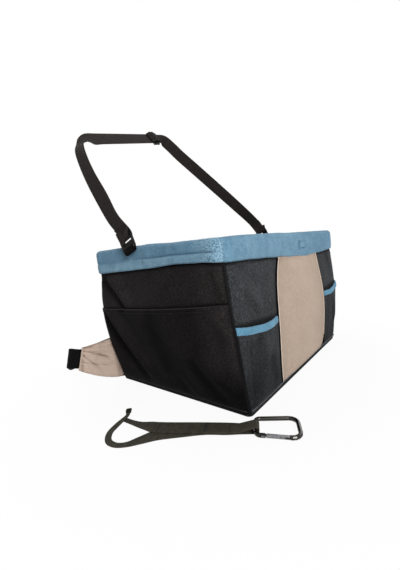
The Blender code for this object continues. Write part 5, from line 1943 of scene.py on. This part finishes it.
# %% Tether
tether_web = 0.022
tether_length = 0.181
hook_wire = 0.0054
tether_upper_shares = [(-0.99, 0.122, 0, 0.36), (-0.91, 0.085, 0, 0.40), (-0.84, 0.055, 0.3, 0.55),
                       (-0.76, 0.028, 1, 0.85), (-0.70, 0.012, 1, 1.0), (-0.60, 0.008, 1, 1.0),
                       (-0.40, 0.006, 1, 1.0), (-0.20, 0.002, 1, 0.98), (-0.11, 0, 1.1, 0.86)]
tether_lower_shares = [(-0.11, 0, 0, 0.86), (-0.20, 0, 0, 0.98), (-0.34, 0.002, 0, 1.0),
                       (-0.50, -0.025, 0, 1.0), (-0.66, -0.058, 0, 1.0), (-0.77, -0.12, 0, 0.70),
                       (-0.85, -0.165, 0, 0.44), (-0.93, -0.172, 0, 0.38), (-1.0, -0.13, 0, 0.38),
                       (-1.035, -0.04, 0, 0.38), (-1.02, 0.055, 0.4, 0.38),
                       (-0.995, 0.125, 1.1, 0.30), (-0.995, 0.18, 0.4, 0.24),
                       (-1.005, 0.215, 0.3, 0.30)]
tether_place = Matrix.Translation((-0.195, -0.154, 0)) @ Matrix.Rotation(math.radians(-60), 4, "Z")
eye_radius = hook_wire / 2 + air + web_thick / 2
eye_height = eye_radius + web_thick / 2 + air


def tether_point(along, across, layer):
    """A place on the tether from shares of its scale, on the floor or one layer up."""
    return (along * tether_length, across * tether_length,
            web_thick / 2 + air + layer * (web_thick + air))


def level_across(route):
    """Give flat webbing the width direction that is level and square to its route."""
    points = [Vector(point) for point, _, _ in route]
    done = []
    for i, (point, _, share) in enumerate(route):
        ahead = points[min(i + 1, len(points) - 1)] - points[max(i - 1, 0)]
        level = Vector((ahead.x, ahead.y, 0))
        if level.length < air:
            level = Vector((1, 0, 0))
        side = level.cross(Vector((0, 0, 1))).normalized()
        if done and side.dot(done[-1][1]) < 0:
            side.negate()
        done.append((point, side, share))
    return done


def placed(route):
    """The tether's route turned and set down beside the tub."""
    turn = tether_place.to_3x3()
    return [(tether_place @ Vector(point), turn @ side, share) for point, side, share in route]


upper = [(*tether_point(*stop[:3]), stop[3]) for stop in tether_upper_shares]
lower = [(*tether_point(*stop[:3]), stop[3]) for stop in tether_lower_shares]
eye = [(eye_radius * math.sin(turn), 0, eye_height + eye_radius * math.cos(turn), 0.80)
       for turn in wrap_turns(0, 180, 12)]
flat_route = smooth_route(upper, 8) + eye + smooth_route(lower, 8)
tether_route = placed(level_across([((x, y, z), None, share) for x, y, z, share in flat_route]))
tether = ribbon_object("tether_webbing_woven", tether_route, tether_web, web_thick)
dress(tether, tether_finish, "tether", "tether_webbing", "tether_webbing")
for name, along in (("near_hook", -0.17), ("middle", -0.335), ("loop", -0.68)):
    points, normals = [], []
    for i in range(13):
        x, y, z = tether_point(along, (i / 12 - 0.5) * tether_web / tether_length * 0.9, 1)
        points.append(tether_place @ Vector((x, y, z + web_thick / 2)))
        normals.append(Vector((0, 0, 1)))
    stitch_row(f"tether_stitches_{name}", points, normals, thread_dark, "tether",
               "tether_webbing", pitch=0.0028, thick=0.0016 if name == "middle" else 0.0008)
print("tether webbing", len(tether.data.polygons), "faces")

# %% [markdown]
# ## Light, floor and backdrop
#
# A soft lamp stands in front, a little to the left, with weaker ones to the right, overhead and
# behind. The floor is white. To the camera most of its light is its own, so it joins the white
# backdrop, and the rest keeps the seat's soft shadow. Metal sees the same white round it.

# %% Floor and backdrop


def seen_white(tree):
    """1 where a ray comes from the camera, a mirror reflection or through something clear."""
    path = add_node(tree, "LightPath").outputs
    seen = maths(tree, "MAXIMUM", path["Is Camera Ray"], path["Is Glossy Ray"])
    return maths(tree, "MAXIMUM", seen, path["Is Transmission Ray"])


floor_finish, tree, shader = new_surface("studio_floor_white", {"Roughness": 0.9})
shader.inputs["Base Color"].default_value = tint("#E0E0E0")
glow = add_node(tree, "Emission", inputs={"Color": tint("#FFFFFF"), "Strength": 1.0})
place = add_node(tree, "TexCoord").outputs["Object"]
away = add_node(tree, "VectorMath", {"operation": "LENGTH"}, {0: place}).outputs["Value"]
glow_share = stretched(tree, away, 0.22, 0.45, 0.93, 1.0)
blended = add_node(tree, "MixShader", inputs={
    0: maths(tree, "MULTIPLY", seen_white(tree), glow_share), 1: shader.outputs["BSDF"],
    2: glow.outputs["Emission"]})
tree.links.new(blended.outputs["Shader"], tree.nodes["Material Output"].inputs["Surface"])
floor_reach = 30
floor_drop = 0.0002
floor_corners = [(x * floor_reach, y * floor_reach, 0) for x, y in ((-1, -1), (1, -1), (1, 1), (-1, 1))]
floor = mesh_object("studio_floor", floor_corners, [(0, 1, 2, 3)])
floor.location.z = -floor_drop
floor.data.materials.append(floor_finish)

world = bpy.data.worlds.new("studio_world")
bpy.context.scene.world = world
world.use_nodes = True
tree = world.node_tree
room_level = 0.28
strength = stretched(tree, seen_white(tree), 0.0, 1.0, room_level, 1.0)
background = tree.nodes["Background"]
background.inputs["Color"].default_value = tint("#FFFFFF")
tree.links.new(strength, background.inputs["Strength"])
print("floor and world are white to the camera")

# %% Lamps


def soft_lamp(name, place, aim, size, power):
    """A square white lamp that faces a place; its size is in metres and its power in watts."""
    data = bpy.data.lights.new(name, "AREA")
    data.shape = "SQUARE"
    data.size = size
    data.energy = power
    lamp = bpy.data.objects.new(name, data)
    bpy.context.scene.collection.objects.link(lamp)
    lamp.location = place
    lamp.rotation_euler = (Vector(aim) - Vector(place)).to_track_quat("-Z", "Y").to_euler()


soft_lamp("key_lamp_front", (-1.15, -2.05, 1.25), (0, 0, 0.12), 0.8, 50)
soft_lamp("side_lamp_right", (1.9, -0.4, 1.1), (0, 0, 0.15), 1.2, 10)
soft_lamp("top_lamp", (0.0, 0.2, 2.0), (0, 0, 0.2), 1.4, 5)
soft_lamp("rear_lamp", (0.4, 1.8, 1.2), (0, 0, 0.15), 1.2, 16)
bpy.context.scene.view_settings.view_transform = "Standard"
print("four soft lamps")
